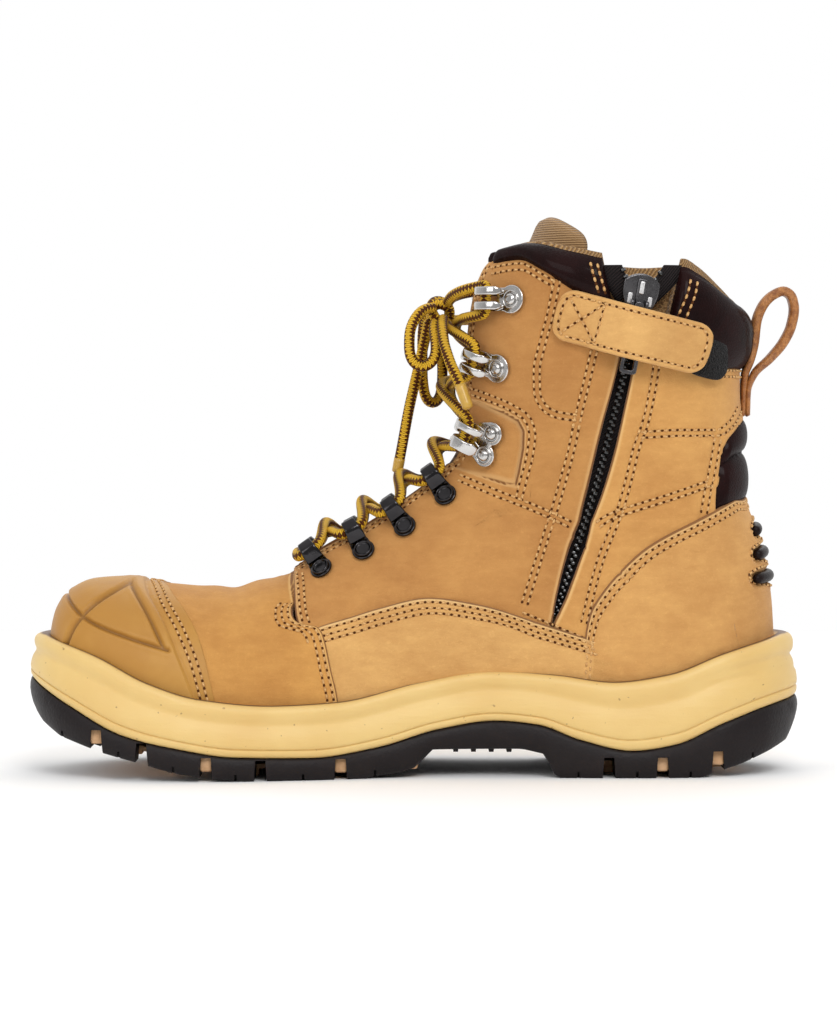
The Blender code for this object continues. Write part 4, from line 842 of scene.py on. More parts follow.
OVERLAY, OVERLAY_ROWS = 1.55, (2.0, 4.5)
WING_TOP = ((44, 56), (38, 58.8), (25, 62.8), (13.7, 66.3), (-5.9, 70.4), (-25.4, 67.8), (-48.8, 60.7),
            (-73, 53))
WING_ROWS = (2.1, 4.5, 6.7)
panels = {}
for side_name, side in SIDES.items():
    bottom = below(LIP, 5.0, 37.0, -82.0)
    made = panel("side_panel_" + side_name,
                 {"a": side_line(WING_TOP, side), "b": side_line(bottom, side)},
                 OVERLAY, {"a": OVERLAY + 0.3}, [("a", d) for d in WING_ROWS], 1.25)
    panels["side_" + side_name] = made
    dress(made["piece"], NUBUCK["side"], "nubuck", "vamp")
    sew("side_panel_stitches_" + side_name, settled(
        [seam_row(made, "a", d, 0.05, 0.97) for d in WING_ROWS], leather_skin(made)))


# Vamp
# One piece of nubuck over the forefoot. It runs from under the toe bumper to the throat, and its rear edges
# lie over the side panels and round the lower tips of the quarters.

NOSE = ((30, 24), (30.4, 30), (33.2, 43), (36.2, 56), (38.4, 58.8), (42.4, 59.2), (46, 60), (48, 63),
        (48.2, 66), (46, 69.5), (43, 73), (41, 78), (40, 84))
UNDER_FLANGE = ((81, 26), (83, 32.4), (87, 46), (94, 58.8), (102, 69))
CREASES = (
    # place on the front line, height, width and lean of a soft fold across the flex line
    (72, -0.7, 5, 0.1), (80, 0.5, 5, 0.08), (62.5, 0.55, 5.5, 0.14), (55.5, -0.5, 4.5, 0.2),
)


def both_sides(knots, ridge_row):
    """An edge from the inner side over the front line to the outer side."""
    inner = side_line(knots, MEDIAL, 40)
    outer = side_line(knots, LATERAL, 40)[::-1]
    return np.concatenate([inner, [(ridge_row, 0.0)], outer])


def vamp_relief(points, far):
    """The rear edge rides up over the side panel, and soft folds cross the flex line."""
    over_panel = 0.95 * np.exp(-(far["b"] / 11.0) ** 2) * ease(points[..., 2], 66.0, 54.0)
    folds = 0.0
    for x, height, width, lean in CREASES:
        away = points[..., 0] - x + lean * np.abs(points[..., 1]) ** 1.25
        folds = folds + height * np.exp(-(away / width) ** 2) * ease(points[..., 2], 46.0, 66.0)
    low_at_throat = -1.1 * ease(points[..., 2], 62.0, 68.0) * ease(points[..., 0], 55.0, 50.0)
    return over_panel + folds + low_at_throat


THROAT_SHADE = ((42.5, 60.2), (46.2, 63.4), (48.2, 71), (49.2, 77), (49, 82))


def vamp_painted_shadow(points):
    """Painted shadow on the vamp along the edge of the quarter's tip."""
    return np.exp(-off_curve(points, along_curve(THROAT_SHADE, 50)) / 1.2)


made = panel("vamp_leather", {"a": both_sides(UNDER_FLANGE, 5.6), "b": both_sides(NOSE, 9.05)},
             OVERLAY, {"b": OVERLAY + 0.6}, [("b", d) for d in OVERLAY_ROWS], 1.1, vamp_relief, vamp_painted_shadow)
panels["vamp"] = made
dress(made["piece"], NUBUCK["vamp"], "nubuck", "vamp")
vamp_rows = []
for side in SIDES.values():
    for distance, front, foot in ((2.0, 20.0, 27.0), (4.5, 20.0, 27.0), (7.0, 40.0, 51.5)):
        row = kept(seam_row(made, "b", distance), lambda p: (p[:, 1] * side > 0) & (p[:, 0] > front))
        vamp_rows.append(kept(row, lambda p: (p[:, 2] < 68.0) & (p[:, 2] > foot)))
sew("vamp_stitches", settled(vamp_rows, leather_skin(made)))


# Heel counter
# Nubuck over the stiff heel cup, wrapped round the back in one piece. Three short rubber ribs bend through
# slots in its upper back, with a row of stitches round the slots.

COUNTER_TOP = ((-65, 31), (-65.5, 38.7), (-67, 56.8), (-69, 65.2), (-73, 71.8), (-80.5, 80.8),
               (-89.5, 89.2), (-97, 94), (-111, 101), (-126, 108.6))
COUNTER_BACK = 110.6
RIB_RADIUS, SLOT_DEPTH = 2.4, 1.7
RIBS = (
    # height at the back, drop of its ends, reach round each side
    (96.4, 2.4, 13), (87.3, 3.8, 18), (77.8, 5.2, 22.5),
)


def back_row(z):
    rows = ROWS > HEEL_ROW
    return np.interp(z, BACK_Z[rows], ROWS[rows])


def round_back(knots, back_z):
    """An edge from the inner side round the back to the outer side."""
    inner = side_line(knots, MEDIAL)
    outer = side_line(knots, LATERAL, around=True)[::-1]
    return np.concatenate([inner, [(back_row(back_z), 1.0)], outer])


def rib_path(height, drop, reach, lift, count=25):
    """A rib's middle line round the back of the counter."""
    turn = np.linspace(-1, 1, count)
    row = back_row(height - drop * turn ** 2)
    girth = girth_of(row, MEDIAL, BACK_GIRTH)
    points, normals = on_last(row, 1 + turn * reach / girth)
    return points + normals * lift, normals


def counter_relief(points, far):
    height = np.zeros(points.shape[:2])
    for rib in RIBS:
        path = rib_path(*rib, 0.0)[0]
        away = np.linalg.norm(points[..., None, :] - path, axis=3).min(axis=2)
        height += 0.35 * np.exp(-((away - 3.9) / 1.2) ** 2) - SLOT_DEPTH * ease(away, 3.3, 2.3)
    return height


counter_foot = below(LIP, 6.0, -66.5, -143.0)
counter_edges = {"a": round_back(COUNTER_TOP, COUNTER_BACK), "b": round_back(counter_foot, 48.0)}
made = panel("counter_leather", counter_edges,
             OVERLAY, {"a": OVERLAY + 0.3}, [("a", d) for d in OVERLAY_ROWS], 1.2, counter_relief)
panels["counter"] = made
dress(made["piece"], NUBUCK["counter"], "nubuck", "counter")
slot_rows = []
for height, drop, reach in RIBS:
    turn = np.linspace(0, 2 * math.pi, 60)
    row = back_row(height - drop * np.cos(turn) ** 2 + 4.3 * np.sin(turn))
    girth = girth_of(row, MEDIAL, BACK_GIRTH)
    points, normals = on_last(row, 1 + np.cos(turn) * (reach + 3.8) / girth)
    slot_rows.append((points + normals * (OVERLAY + 0.15), normals))
counter_rows = [seam_row(made, "a", d, 0.02, 0.98) for d in OVERLAY_ROWS]
sew("counter_stitches", settled(counter_rows + slot_rows, leather_skin(made)))
back_rows = []
for drop in TOP_ROWS:
    collar_line = below(LEATHER_TOP, drop, -129.8, -131.4, 4)
    row = resample(round_back(collar_line, collar_line[-1][1]), np.linspace(0, 1, 60))
    back_rows.append(on_last(*row.T))
back_skin = leather_skin(*(quarters["rear", side] for side in SIDES.values()))
sew("quarter_stitches_back", settled(back_rows, back_skin))

rubber_dark, at, surface = material("heel_rubber", Roughness=0.4, Specular_IOR_Level=0.12)
feed(surface, Base_Color=at.noise(300.0).mixed(rgb(0.006, 0.003, 0.003), rgb(0.016, 0.008, 0.007)),
     Normal=bump(at.noise(1600.0), 0.0003, 0.4))


def tube_grid(path, normals, radius, sides=16):
    """Points of a closed tube along a path. radius may change on the way, so that its ends can be rounded."""
    ahead = unit(np.gradient(path, axis=0))
    aside = unit(np.cross(normals, ahead))
    out = np.cross(ahead, aside)
    turn = np.linspace(0, 2 * math.pi, sides + 1)[None, :, None]
    radius = np.broadcast_to(radius, len(path))[:, None, None]
    return path[:, None] + radius * (np.cos(turn) * aside[:, None] + np.sin(turn) * out[:, None])


def pick(*pieces):
    """Selects pieces, with the first one active."""
    bpy.ops.object.select_all(action="DESELECT")
    for piece in pieces:
        piece.select_set(True)
    bpy.context.view_layer.objects.active = pieces[0]


def close_up(piece):
    """Joins a grid's meeting edges and turns its faces outwards."""
    pick(piece)
    bpy.ops.object.mode_set(mode="EDIT")
    bpy.ops.mesh.select_all(action="SELECT")
    bpy.ops.mesh.remove_doubles(threshold=0.000004)
    bpy.ops.mesh.normals_make_consistent(inside=False)
    bpy.ops.object.mode_set(mode="OBJECT")


def closed_grid(name, points):
    """A grid with its meeting edges joined."""
    piece = new_grid(name, points)
    close_up(piece)
    return piece


for number, rib in enumerate(RIBS, 1):
    path, normals = rib_path(*rib, 1.5, 41)
    bend = np.linspace(-1, 1, 41)
    thickness = RIB_RADIUS * np.maximum(1 - np.abs(bend) ** 14, 0.0) ** 0.5
    piece = closed_grid(f"heel_rib_{number}", tube_grid(path, normals, thickness))
    dress(piece, rubber_dark, "padded_leather", f"flex_rib_{number}")


# Toe bumper
# Moulded ochre rubber cap over the safety toe, its curved grooves part of the mould. Its thinner rear flange
# is sewn down over the vamp with two rows.

BUMPER_REAR = ((76.2, 24), (78.2, 31), (82.6, 45.5), (89, 58.8), (95.6, 68.5))
BUMPER_BODY = ((84.6, 26), (86.4, 32.2), (93.2, 48.2), (99.3, 60.2), (105.5, 69), (111.5, 80))
BUMPER_GROOVES = (
    ((139.5, 71.5), (129.2, 61.7), (113.1, 54.7), (96.6, 49.5)),
    ((136, 50), (131.7, 59.2), (125.2, 66.2), (113.1, 73.6)),
    ((112.6, 72.6), (105.1, 62.2), (98.3, 50.4)),
)
BUMPER_TOP, FLANGE_TOP, GROOVE_DEPTH = 2.9, 1.9, 1.4


def groove_distance(points):
    """How far points lie from the nearest groove of the mould."""
    curves = np.concatenate([along_curve(knots, 70) for knots in BUMPER_GROOVES])
    return off_curve(points, curves)


def bumper_relief(points, far):
    flat = points[..., (0, 2)]
    border = along_curve(BUMPER_BODY, 60)
    behind = np.interp(flat[..., 1], border[:, 1], border[:, 0])
    body = ease(flat[..., 0] - behind, -0.5, 0.5)
    height = FLANGE_TOP + (BUMPER_TOP - FLANGE_TOP) * body
    away = groove_distance(points)
    height += 0.2 * np.exp(-((away - 1.8) / 1.0) ** 2) - GROOVE_DEPTH * ease(away, 1.15, 0.3)
    height -= 0.5 * np.exp(-((flat[..., 0] - behind + 0.4) / 0.6) ** 2)
    return height


rear = both_sides(BUMPER_REAR, 5.78)
foot_line = below(LIP, 4.0, 76.2, 137.0)
foot = {side: side_line(foot_line, side) for side in SIDES.values()}
tip = np.linspace(1, -1, 81)
front_row, front_turn = foot[MEDIAL][-1]
front = np.stack([0.7 + (front_row - 0.7) * tip ** 2, front_turn * tip], axis=1)
# The bumper's grooves get painted shade, passed to the panel as its rim weight.
made = panel("bumper", {"a": rear, "b": front,
                        "c": np.concatenate([rear[:1], foot[MEDIAL][1:]]),
                        "d": np.concatenate([rear[-1:], foot[LATERAL][1:-1], front[-1:]])},
             0.0, {"a": FLANGE_TOP + 0.4}, (), 0.65, bumper_relief,
             wear_and_shade=lambda points: 0.85 * np.exp(-(groove_distance(points) / 0.75) ** 2))
bumper_finish, at, surface = material("bumper_rubber", Specular_IOR_Level=0.35)
cloud = at.noise(38.0, 3.0)
scuff = at.noise(420.0, 4.0, 0.75).between(0.62, 0.8)
ochre = cloud.between(0.35, 0.7).mixed(rgb(0.435, 0.205, 0.034), rgb(0.50, 0.255, 0.050))
# Painted shade: the ochre turns dark brown in the grooves and along the flange's raised edge.
feed(surface, Base_Color=(at.named("rim").between(0.2, 0.9) * 0.75).mixed(ochre, rgb(0.17, 0.075, 0.014)),
     Roughness=0.42 + 0.12 * cloud + 0.1 * scuff,
     Normal=bump(at.noise(1900.0, 2.0), 0.0002, 0.35, bump(cloud, 0.001, 0.15)))
dress(made["piece"], bumper_finish, "bumper", "toe_bumper")
bumper_rows = []
for forward, ridge_row in ((2.6, 5.62), (5.1, 5.47)):
    row = both_sides([(x + 0.92 * forward, z - 0.38 * forward) for x, z in BUMPER_REAR[1:]], ridge_row)
    row = resample(row, np.linspace(0, 1, 200))
    bumper_rows.append(on_last(*row.T))
sew("bumper_stitches", settled(bumper_rows, leather_skin(made)))


# Heel pad
# Glossy dark leather over foam, in two rolls across the tendon. It comes out from under the cut edges of the
# quarters and is sewn down between the rolls.

PAD_TOP = ((-120, 128.6), (-123, 133.2), (-127.4, 138.2), (-131.5, 142))
PAD_FOOT = ((-117.8, 104.8), (-121, 105.6), (-127, 107), (-134, 108.6))
PAD_PUFF, PAD_SINK = 3.9, -0.9
PAD_GROOVE = ((-120.4, 121.8), (-124, 125), (-130, 127.4), (-134, 127.6))


def pad_relief(points, far):
    top, groove, foot_z = (table_at([(-x, z) for x, z in table], -points[..., 0])
                           for table in (PAD_TOP, PAD_GROOVE, PAD_FOOT))
    z = points[..., 2]
    upper_roll = np.clip((z - groove) / (top - groove), 0, 1)
    lower_roll = np.clip((groove - z) / (groove - foot_z), 0, 1)
    roll = np.where(z > groove, 4 * upper_roll * (1 - upper_roll), 4 * lower_roll * (1 - lower_roll))
    ends = ease(np.minimum(far["c"], far["d"]), 0.0, 7.0)
    return PAD_PUFF * np.maximum(roll, 0) ** 0.42 * ends


made = panel("heel_pad_leather", {"a": round_back(PAD_TOP, 142.6), "b": round_back(PAD_FOOT, 108.8)},
             PAD_SINK, {}, (), 0.8, pad_relief)


def dark_leather(name, low, high, coat):
    """Smooth dark brown leather with a fine pebble grain and a clear gloss."""
    made, at, surface = material(name, Specular_IOR_Level=0.05, Coat_Roughness=0.13, Coat_Weight=coat)
    pebble = at.node("ShaderNodeTexVoronoi", {"Vector": at, "Scale": 850.0}, feature="DISTANCE_TO_EDGE")
    cloud = at.noise(60.0)
    feed(surface, Base_Color=cloud.between(0.3, 0.7).mixed(low, high), Roughness=0.42 + 0.16 * cloud,
         Normal=bump(pebble.between(0.0, 0.25), 0.00022, 0.45, bump(at.noise(140.0, 3.0), 0.0012, 0.25)))
    return made


collar_leather = dark_leather("collar_leather", rgb(0.007, 0.0018, 0.0017), rgb(0.015, 0.004, 0.0038), 0.09)
dress(made["piece"], collar_leather, "padded_leather", "heel_pad")


# Midsole
# Cream polyurethane foam cast round the lasted upper. Its flared wall has a thin parting line low down,
# a soft waist and a rounded lip, with two shallow flutes that run round the heel.

OUTSOLE_EDGE = ((-154, 30.5), (-140, 27.5), (-121, 21), (-102, 13), (-85, 10.6), (-65, 14.8), (-48, 20.8),
                (-32, 22.2), (-9, 18.8), (15, 12), (40, 8.6), (70, 9.3), (94, 13), (114, 17.8),
                (135, 28.5), (154, 39))
SOLE_COLUMNS = 400
MIDSOLE_WALL = (
    # share of the way up, inset from the sole's outline
    (0, 2.6), (0, 1.5), (0.02, 0.85), (0.05, 0.45), (0.09, 0.3), (0.125, 0.3), (0.138, 0.5),
    (0.146, 0.95), (0.156, 0.95), (0.164, 0.5), (0.178, 0.3), (0.23, 0.2), (0.3, 0.35), (0.37, 0.6),
    (0.44, 0.95), (0.5, 1.35), (0.555, 1.85), (0.59, 2.25), (0.62, 2.45), (0.655, 2.45), (0.69, 2.25),
    (0.73, 1.95), (0.78, 1.75), (0.83, 1.7), (0.88, 1.85), (0.92, 2.2), (0.955, 2.8), (0.98, 3.7),
    (0.995, 4.8), (1, 6), (0.997, 7.4), (0.97, 9), (0.9, 11.5), (0.5, 12.5), (0.02, 12.5), (0, 2.6),
)
FLUTE_DEPTH = 0.75
FLUTES = (
    # share of the way up at its front end and at the back, place of its front end
    (0.80, 0.66, -100.0), (0.66, 0.46, -110.0),
)
outline, outward = sole_outline(SOLE_COLUMNS)
outline, outward = (np.concatenate([table, table[:1]]) for table in (outline, outward))
rings = []
for share, inset in MIDSOLE_WALL:
    flat = outline - outward * inset
    groove = np.zeros(len(flat))
    for front_share, back_share, front_x in FLUTES:
        behind = np.clip((front_x - flat[:, 0]) / (front_x + 152.0), 0, 1)
        place = front_share + (back_share - front_share) * behind
        fade = ease(flat[:, 0], front_x, front_x - 18.0)
        groove += FLUTE_DEPTH * np.exp(-((share - place) / 0.035) ** 2) * fade
    if inset < 6:
        flat = flat - outward * groove[:, None]
    low = line(OUTSOLE_EDGE, flat[:, 0]) + 0.2
    rings.append(np.column_stack([flat, low + share * (line(LIP, flat[:, 0]) - low)]))
midsole = new_grid("midsole_foam", np.array(rings))
# Painted shadow: a dark brown band along the lip's top, where the leather meets the midsole.
painted_lip_shadow = [ease(share, 0.975, 0.99) * ease(inset, 3.2, 4.8) for share, inset in MIDSOLE_WALL]
weight(midsole, "seam", np.repeat(painted_lip_shadow, len(outline)))
close_up(midsole)

foam, at, surface = material("foam", Specular_IOR_Level=0.45, Subsurface_Weight=0.06, Subsurface_Scale=0.004,
                             Subsurface_Radius=(1.0, 0.6, 0.25))
cloud = at.noise(22.0, 3.0)
streak = at.node("ShaderNodeMapping", {"Vector": at, "Scale": (1.0, 1.0, 7.0)}).noise(30.0, 4.0)
speck = at.noise(480.0, 1.0, 0.4).between(0.745, 0.79)
tint = cloud.between(0.3, 0.72).mixed(rgb(0.705, 0.468, 0.164), rgb(0.757, 0.535, 0.206))
foam_colour = (speck * 0.7).mixed(tint, rgb(0.33, 0.19, 0.07))
# The named weight paints the dark brown shadow at the lip.
feed(surface, Base_Color=at.named("seam").mixed(foam_colour, rgb(0.13, 0.06, 0.02)),
     Roughness=0.36 + 0.2 * streak,
     Normal=bump(at.noise(1400.0, 2.0), 0.00025, 0.3, bump(streak, 0.0016, 0.22)))
dress(midsole, foam, "midsole_foam", "midsole")


# Outsole
# Dark nitrile rubber, moulded with lugs round its edge, a raised heel breast and a ribbed arch. Gaps part the
# lugs down to the web, and each lug has a short sipe in its outer edge.

TREAD = ((-154, 22), (-148, 13), (-140, 9.5), (-129, 5.2), (-112, 0), (-58, 0), (-55, 0.6), (-51, 9.3),
         (-42, 11.3), (-7, 11), (0, 4), (6, 2), (22, 0), (66, 0), (82, 1.4), (94, 3.5), (106, 6.9),
         (121, 10.6), (139, 16.5), (147, 21.5), (154, 29))
LUG_DEPTH, LUG_BAND = 6.2, 19.0
GAP_DEPTH, GAP_WIDTH, GAP_BOX = 8.2, 3.9, 20.0
LUG_GAPS = (124, 106, 81, 60, 29, -76, -97, -119)
SIPES = (138, 115, 93.6, 69.5, 43.5, 15.6, -64, -87, -108, -133)
TREAD_SPANS = ((14.0, 124.0), (-132.0, -70.0))
ARCH_BARS = (-16, -23, -30, -37)


def tread(x):
    """Height of the tread's underside."""
    return table_at(TREAD, x)


def sole_half(x):
    """Middle and half width of the sole's outline."""
    centre = smooth(x, SOLE_PLAN[:, 0], SOLE_PLAN[:, 1]) - PLAN_MIDDLE
    return float(centre), float(np.sqrt(max(smooth(x, SOLE_PLAN[:, 0], SOLE_PLAN[:, 2] ** 2), 0)))


half = SOLE_COLUMNS // 2
inner_line, inner_out = outline[:half + 1], outward[:half + 1]
outer_line, outer_out = outline[half:][::-1], outward[half:][::-1]
loops = []
OUTSOLE_WALL = (
    # share of the way from the tread to the upper edge, inset
    (0, 12), (0, 2.6), (0.035, 1.7), (0.13, 0.9), (0.3, 0.3), (0.5, 0), (0.7, 0.1), (0.88, 0.5),
    (0.96, 0.9), (1, 1.7), (1, 12),
)
for line_points, line_out, order in ((inner_line, inner_out, 1), (outer_line, outer_out, -1)):
    for share, inset in OUTSOLE_WALL[::order]:
        flat = line_points - line_out * inset
        low = tread(flat[:, 0])
        loops.append(np.column_stack([flat, low + share * (line(OUTSOLE_EDGE, flat[:, 0]) - low)]))
loops.append(loops[0])
outsole = closed_grid("outsole_rubber", np.array(loops))


def add_box(centre, size, foot):
    """A box, wider at its foot by a factor, in millimetres."""
    bpy.ops.mesh.primitive_cube_add(size=1, location=[c * MM for c in centre])
    box = bpy.context.object
    box.scale = [s * MM for s in size]
    bpy.ops.object.transform_apply()
    for vert in box.data.vertices:
        if vert.co.z < centre[2] * MM:
            vert.co.x = (vert.co.x - centre[0] * MM) * foot + centre[0] * MM
    return box


def joined(boxes, name):
    pick(*boxes)
    if len(boxes) > 1:
        bpy.ops.object.join()
    boxes[0].name = boxes[0].data.name = name
    return boxes[0]


def cut(piece, cutter, operation="DIFFERENCE"):
    """Applies a cutter to a piece and removes it."""
    pick(piece)
    modifier = piece.modifiers.new("cut", "BOOLEAN")
    modifier.object, modifier.operation, modifier.solver = cutter, operation, "EXACT"
    bpy.ops.object.modifier_apply(modifier="cut")
    bpy.data.objects.remove(cutter)


gap_boxes, sipe_boxes = [], []
for x in LUG_GAPS:
    centre, reach = sole_half(x)
    for side in SIDES.values():
        y = centre + side * (reach - LUG_BAND / 2 + 6.0)
        z = float(tread(x)) + GAP_DEPTH - GAP_BOX / 2
        gap_boxes.append(add_box((x, y, z), (GAP_WIDTH, LUG_BAND + 16.0, GAP_BOX), 1.75))
for x in SIPES:
    centre, reach = sole_half(x)
    for side in SIDES.values():
        sipe_boxes.append(add_box((x, centre + side * reach, float(tread(x)) - 0.6), (0.9, 9.0, 6.4), 1.3))
cut(outsole, joined(gap_boxes, "gaps"))
cut(outsole, joined(sipe_boxes, "sipes"))
for span in TREAD_SPANS:
    stations = np.linspace(*span, 24)
    cutter_rows = []
    for x in stations:
        centre, reach = sole_half(x)
        inner = max(reach - LUG_BAND, 5.0)
        z = float(tread(x))
        roof = z + LUG_DEPTH
        corners = ((-inner, -20.0), (inner, -20.0), (inner, roof), (-inner, roof), (-inner, -20.0))
        cutter_rows.append([(x, centre + y, height) for y, height in corners])
    cutter_rows = [[(stations[0], sole_half(stations[0])[0], 0.0)] * 5] + cutter_rows
    cutter_rows.append([(stations[-1], sole_half(stations[-1])[0], 0.0)] * 5)
    cutter = closed_grid("recess", np.array(cutter_rows))
    cut(outsole, cutter)
arch = [add_box((x, sole_half(x)[0], 11.2), (2.6, 2 * sole_half(x)[1] - 12.0, 3.0), 0.7) for x in ARCH_BARS]
cut(outsole, joined(arch, "arch_bars"), "UNION")
pick(outsole)
bevel = outsole.modifiers.new("edges", "BEVEL")
bevel.width, bevel.segments, bevel.limit_method, bevel.angle_limit = 0.0005, 2, "ANGLE", math.radians(38)
bevel.use_clamp_overlap = True
bpy.ops.object.modifier_apply(modifier="edges")
bpy.ops.object.shade_smooth_by_angle(angle=math.radians(38))

rubber, at, surface = material("outsole_rubber", Specular_IOR_Level=0.25)
dust = at.noise(60.0, 5.0, 0.7).between(0.45, 0.8)
grit = at.noise(900.0, 2.0)
low = at.node("ShaderNodeSeparateXYZ", {"Vector": at}, out=2)
scuffed = dust * (1 - low.between(0.0, 0.03)) * 0.55
feed(surface, Base_Color=(scuffed + grit.between(0.72, 0.8) * 0.35).mixed(rgb(0.008, 0.0048, 0.0052),
                                                                        rgb(0.030, 0.021, 0.020)),
     Roughness=0.48 + 0.25 * dust, Normal=bump(grit, 0.0004, 0.5, bump(dust, 0.001, 0.15)))
dress(outsole, rubber, "outsole_rubber", "outsole")


# Tread centre
# Tan rubber of a second pour fills the middle of the tread, and its studs show in the gaps between the lugs.
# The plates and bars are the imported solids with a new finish.

STUDS = (124, 81, 29, -97, -119)
tan_rubber, at, surface = material("tan_rubber", Specular_IOR_Level=0.35)
wear_and_shade = at.noise(90.0, 5.0, 0.7)
feed(surface, Base_Color=wear_and_shade.between(0.3, 0.75).mixed(rgb(0.58, 0.33, 0.16), rgb(0.78, 0.50, 0.29)),
     Roughness=0.6 + 0.2 * wear_and_shade, Normal=bump(at.noise(1100.0), 0.0004, 0.5))
for node in ("tread_forefoot", "tread_heel"):
    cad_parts[node].data.materials.clear()
    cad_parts[node].data.materials.append(tan_rubber)
studs = []
for x in STUDS:
    centre, reach = sole_half(x)
    for side in SIDES.values():
        z = float(tread(x)) + 5.6
        studs.append(add_box((x, centre + side * (reach - 9.5), z), (5.2, 13.0, 6.0), 0.9))
front_x = 3.5
centre, reach = sole_half(front_x)
for side in SIDES.values():
    studs.append(add_box((front_x, centre + side * (reach - 9.0), 6.6), (11.0, 11.0, 6.4), 0.8))
studs = joined(studs, "tread_studs")
bevel = studs.modifiers.new("edges", "BEVEL")
bevel.width, bevel.segments = 0.0009, 3
bpy.ops.object.modifier_apply(modifier="edges")
bpy.ops.object.shade_smooth_by_angle(angle=math.radians(40))
dress(studs, tan_rubber, "tan_rubber")


# Lining and footbed
# Tan spacer mesh lines the shaft and is sewn in under the collar. A thin footbed covered with the same cloth
# closes the boot underneath.

lining_cloth, at, surface = material(
    "lining_cloth", Roughness=0.9, Specular_IOR_Level=0.15, Sheen_Weight=0.15)
mesh_cells = at.node("ShaderNodeTexVoronoi", {"Vector": at, "Scale": 620.0}, feature="DISTANCE_TO_EDGE")
fibre = at.noise(1300.0, 3.0)
feed(surface, Base_Color=mesh_cells.between(0.02, 0.3).mixed(rgb(0.42, 0.245, 0.105), rgb(0.24, 0.13, 0.055)),
     Normal=bump(mesh_cells.between(0.0, 0.3) * 0.8 + fibre * 0.2, 0.0007, 0.6))

LINING_DEPTH, LINING_COLUMNS = -2.7, 161
lining_rows = np.linspace(9.6, 20.6, 120)
gap = table_at(THROAT_GAP, lining_rows) + 1.0
inner_start = gap / girth_of(lining_rows, MEDIAL)
outer_end = 2 - gap / girth_of(lining_rows, LATERAL)
turns = inner_start[:, None] + (outer_end - inner_start)[:, None] * np.linspace(0, 1, LINING_COLUMNS)
points, normals = on_last(np.repeat(lining_rows[:, None], LINING_COLUMNS, axis=1), turns)
beside_zip = np.abs(points[..., 0] - line(ZIP_LINE, points[..., 2])) + 99.0 * (points[..., 1] < 0)
sink = LINING_DEPTH - 2.6 * ease(points[..., 2], 140.0, 175.0) - 4.0 * (1 - ease(beside_zip, 8.0, 18.0))
lining = new_grid("lining", points + normals * sink[..., None])
turn_faces(lining, normals, -1)
dress(lining, lining_cloth, "textile", "upper")

FOOTBED_INSET = 13.6
bed_rows = []
for share in np.linspace(0, 1, 21):
    flat_inner = inner_line - inner_out * FOOTBED_INSET
    flat_outer = outer_line - outer_out * FOOTBED_INSET
    flat = flat_inner + (flat_outer - flat_inner) * share
    rim = 1 - (2 * share - 1) ** 8
    height = line(feather, flat[:, 0]) + 3.4 + 1.4 * rim - 0.8 * math.sin(math.pi * share)
    bed_rows.append(np.column_stack([flat, height]))
footbed = new_grid("footbed", np.array(bed_rows))
if footbed.data.polygons[200].normal.z < 0:
    footbed.data.flip_normals()
dress(footbed, lining_cloth, "textile", "insole")


# Collar
# Foam under smooth dark leather, rolled over the top edge of the shaft and parted by the zip on the inner
# side. A tan cloth binding shows along the roll's top, and two rows of stitches stand beside the zip.

COLLAR_TOP = ((-136, 181), (-130, 185.5), (-122, 191.5), (-112, 198.4), (-106, 201), (-99, 201),
              (-79, 203), (-60, 207.2), (-44, 210.9), (-37, 209.5), (-28, 203.5))
ROLL_SECTION = (
    # share of the way up, height over the last
    (-0.1, -1.6), (0, 0.2), (0.12, 1.9), (0.3, 2.9), (0.55, 3.1), (0.75, 2.3), (0.88, 1), (0.95, -0.3),
    (0.985, -1.4), (1.03, -1.7), (1.06, -2.6), (1.05, -3.8), (1, -4.8), (0.85, -6.4), (0.6, -7.8),
    (0.3, -8.2), (0, -7.4), (-0.1, -5), (-0.1, -1.6),
)
BINDING = (8.0, 12.4)
ROLL_POINTS = 72


def roll(name, low_edge, high_edge, swell, columns):
    """A closed roll of padding between two edges, with its cloth binding as a second finish."""
    section_points = along_curve(ROLL_SECTION, ROLL_POINTS)
    knots = np.array(ROLL_SECTION)
    steps = run_of(knots)
    middle = -2.6
    shares = np.linspace(0, 1, columns)
    low, high = resample(low_edge, shares), resample(high_edge, shares)
    loops = []
    for up, height in section_points:
        place = low + (high - low) * up
        points, normals = on_last(np.minimum(place[:, 0], 21.95), place[:, 1])
        end = np.minimum(shares, 1 - shares) * (columns - 1)
        tuck = np.sqrt(1 - np.clip(1 - end / 5.0, 0, 1) ** 2)
        puffed = middle + (height - middle) * (0.55 + 0.45 * tuck) * (swell if height > 0 else 1.0)
        loops.append(points + normals * puffed[:, None])
    loops = np.array(loops)
    ends = loops.mean(axis=0)
    loops = np.concatenate([np.repeat(ends[:1][None], ROLL_POINTS, axis=0), loops,
                            np.repeat(ends[-1:][None], ROLL_POINTS, axis=0)], axis=1)
    piece = new_grid(name, loops)
    along = np.linspace(0, steps[-1], ROLL_POINTS)
    first, last = np.interp(BINDING, np.arange(len(knots)), steps)
    inside = (along[:-1] > first) & (along[:-1] < last)
    lined = along[:-1] >= last
    finish = np.where(inside, 1, np.where(lined, 2, 0))
    per_face = np.repeat(finish, loops.shape[1] - 1)
    piece.data.materials.append(collar_leather)
    piece.data.materials.append(binding_cloth)
    piece.data.materials.append(lining_cloth)
    piece.data.polygons.foreach_set("material_index", per_face.astype(np.int32))
    close_up(piece)
    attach(piece, "boot")
    return piece


binding_cloth, at, surface = material(
    "binding_cloth", Roughness=0.92, Specular_IOR_Level=0.15, Sheen_Weight=0.2)
cord_twill = at.node("ShaderNodeTexWave", {"Vector": at, "Scale": 480.0, "Distortion": 2.5, "Detail": 2.0,
                                           "Detail Scale": 2.0}, out=1, bands_direction="DIAGONAL")
feed(surface, Base_Color=cord_twill.mixed(rgb(0.20, 0.10, 0.035), rgb(0.46, 0.27, 0.105)),
     Normal=bump(cord_twill, 0.0009, 0.8))


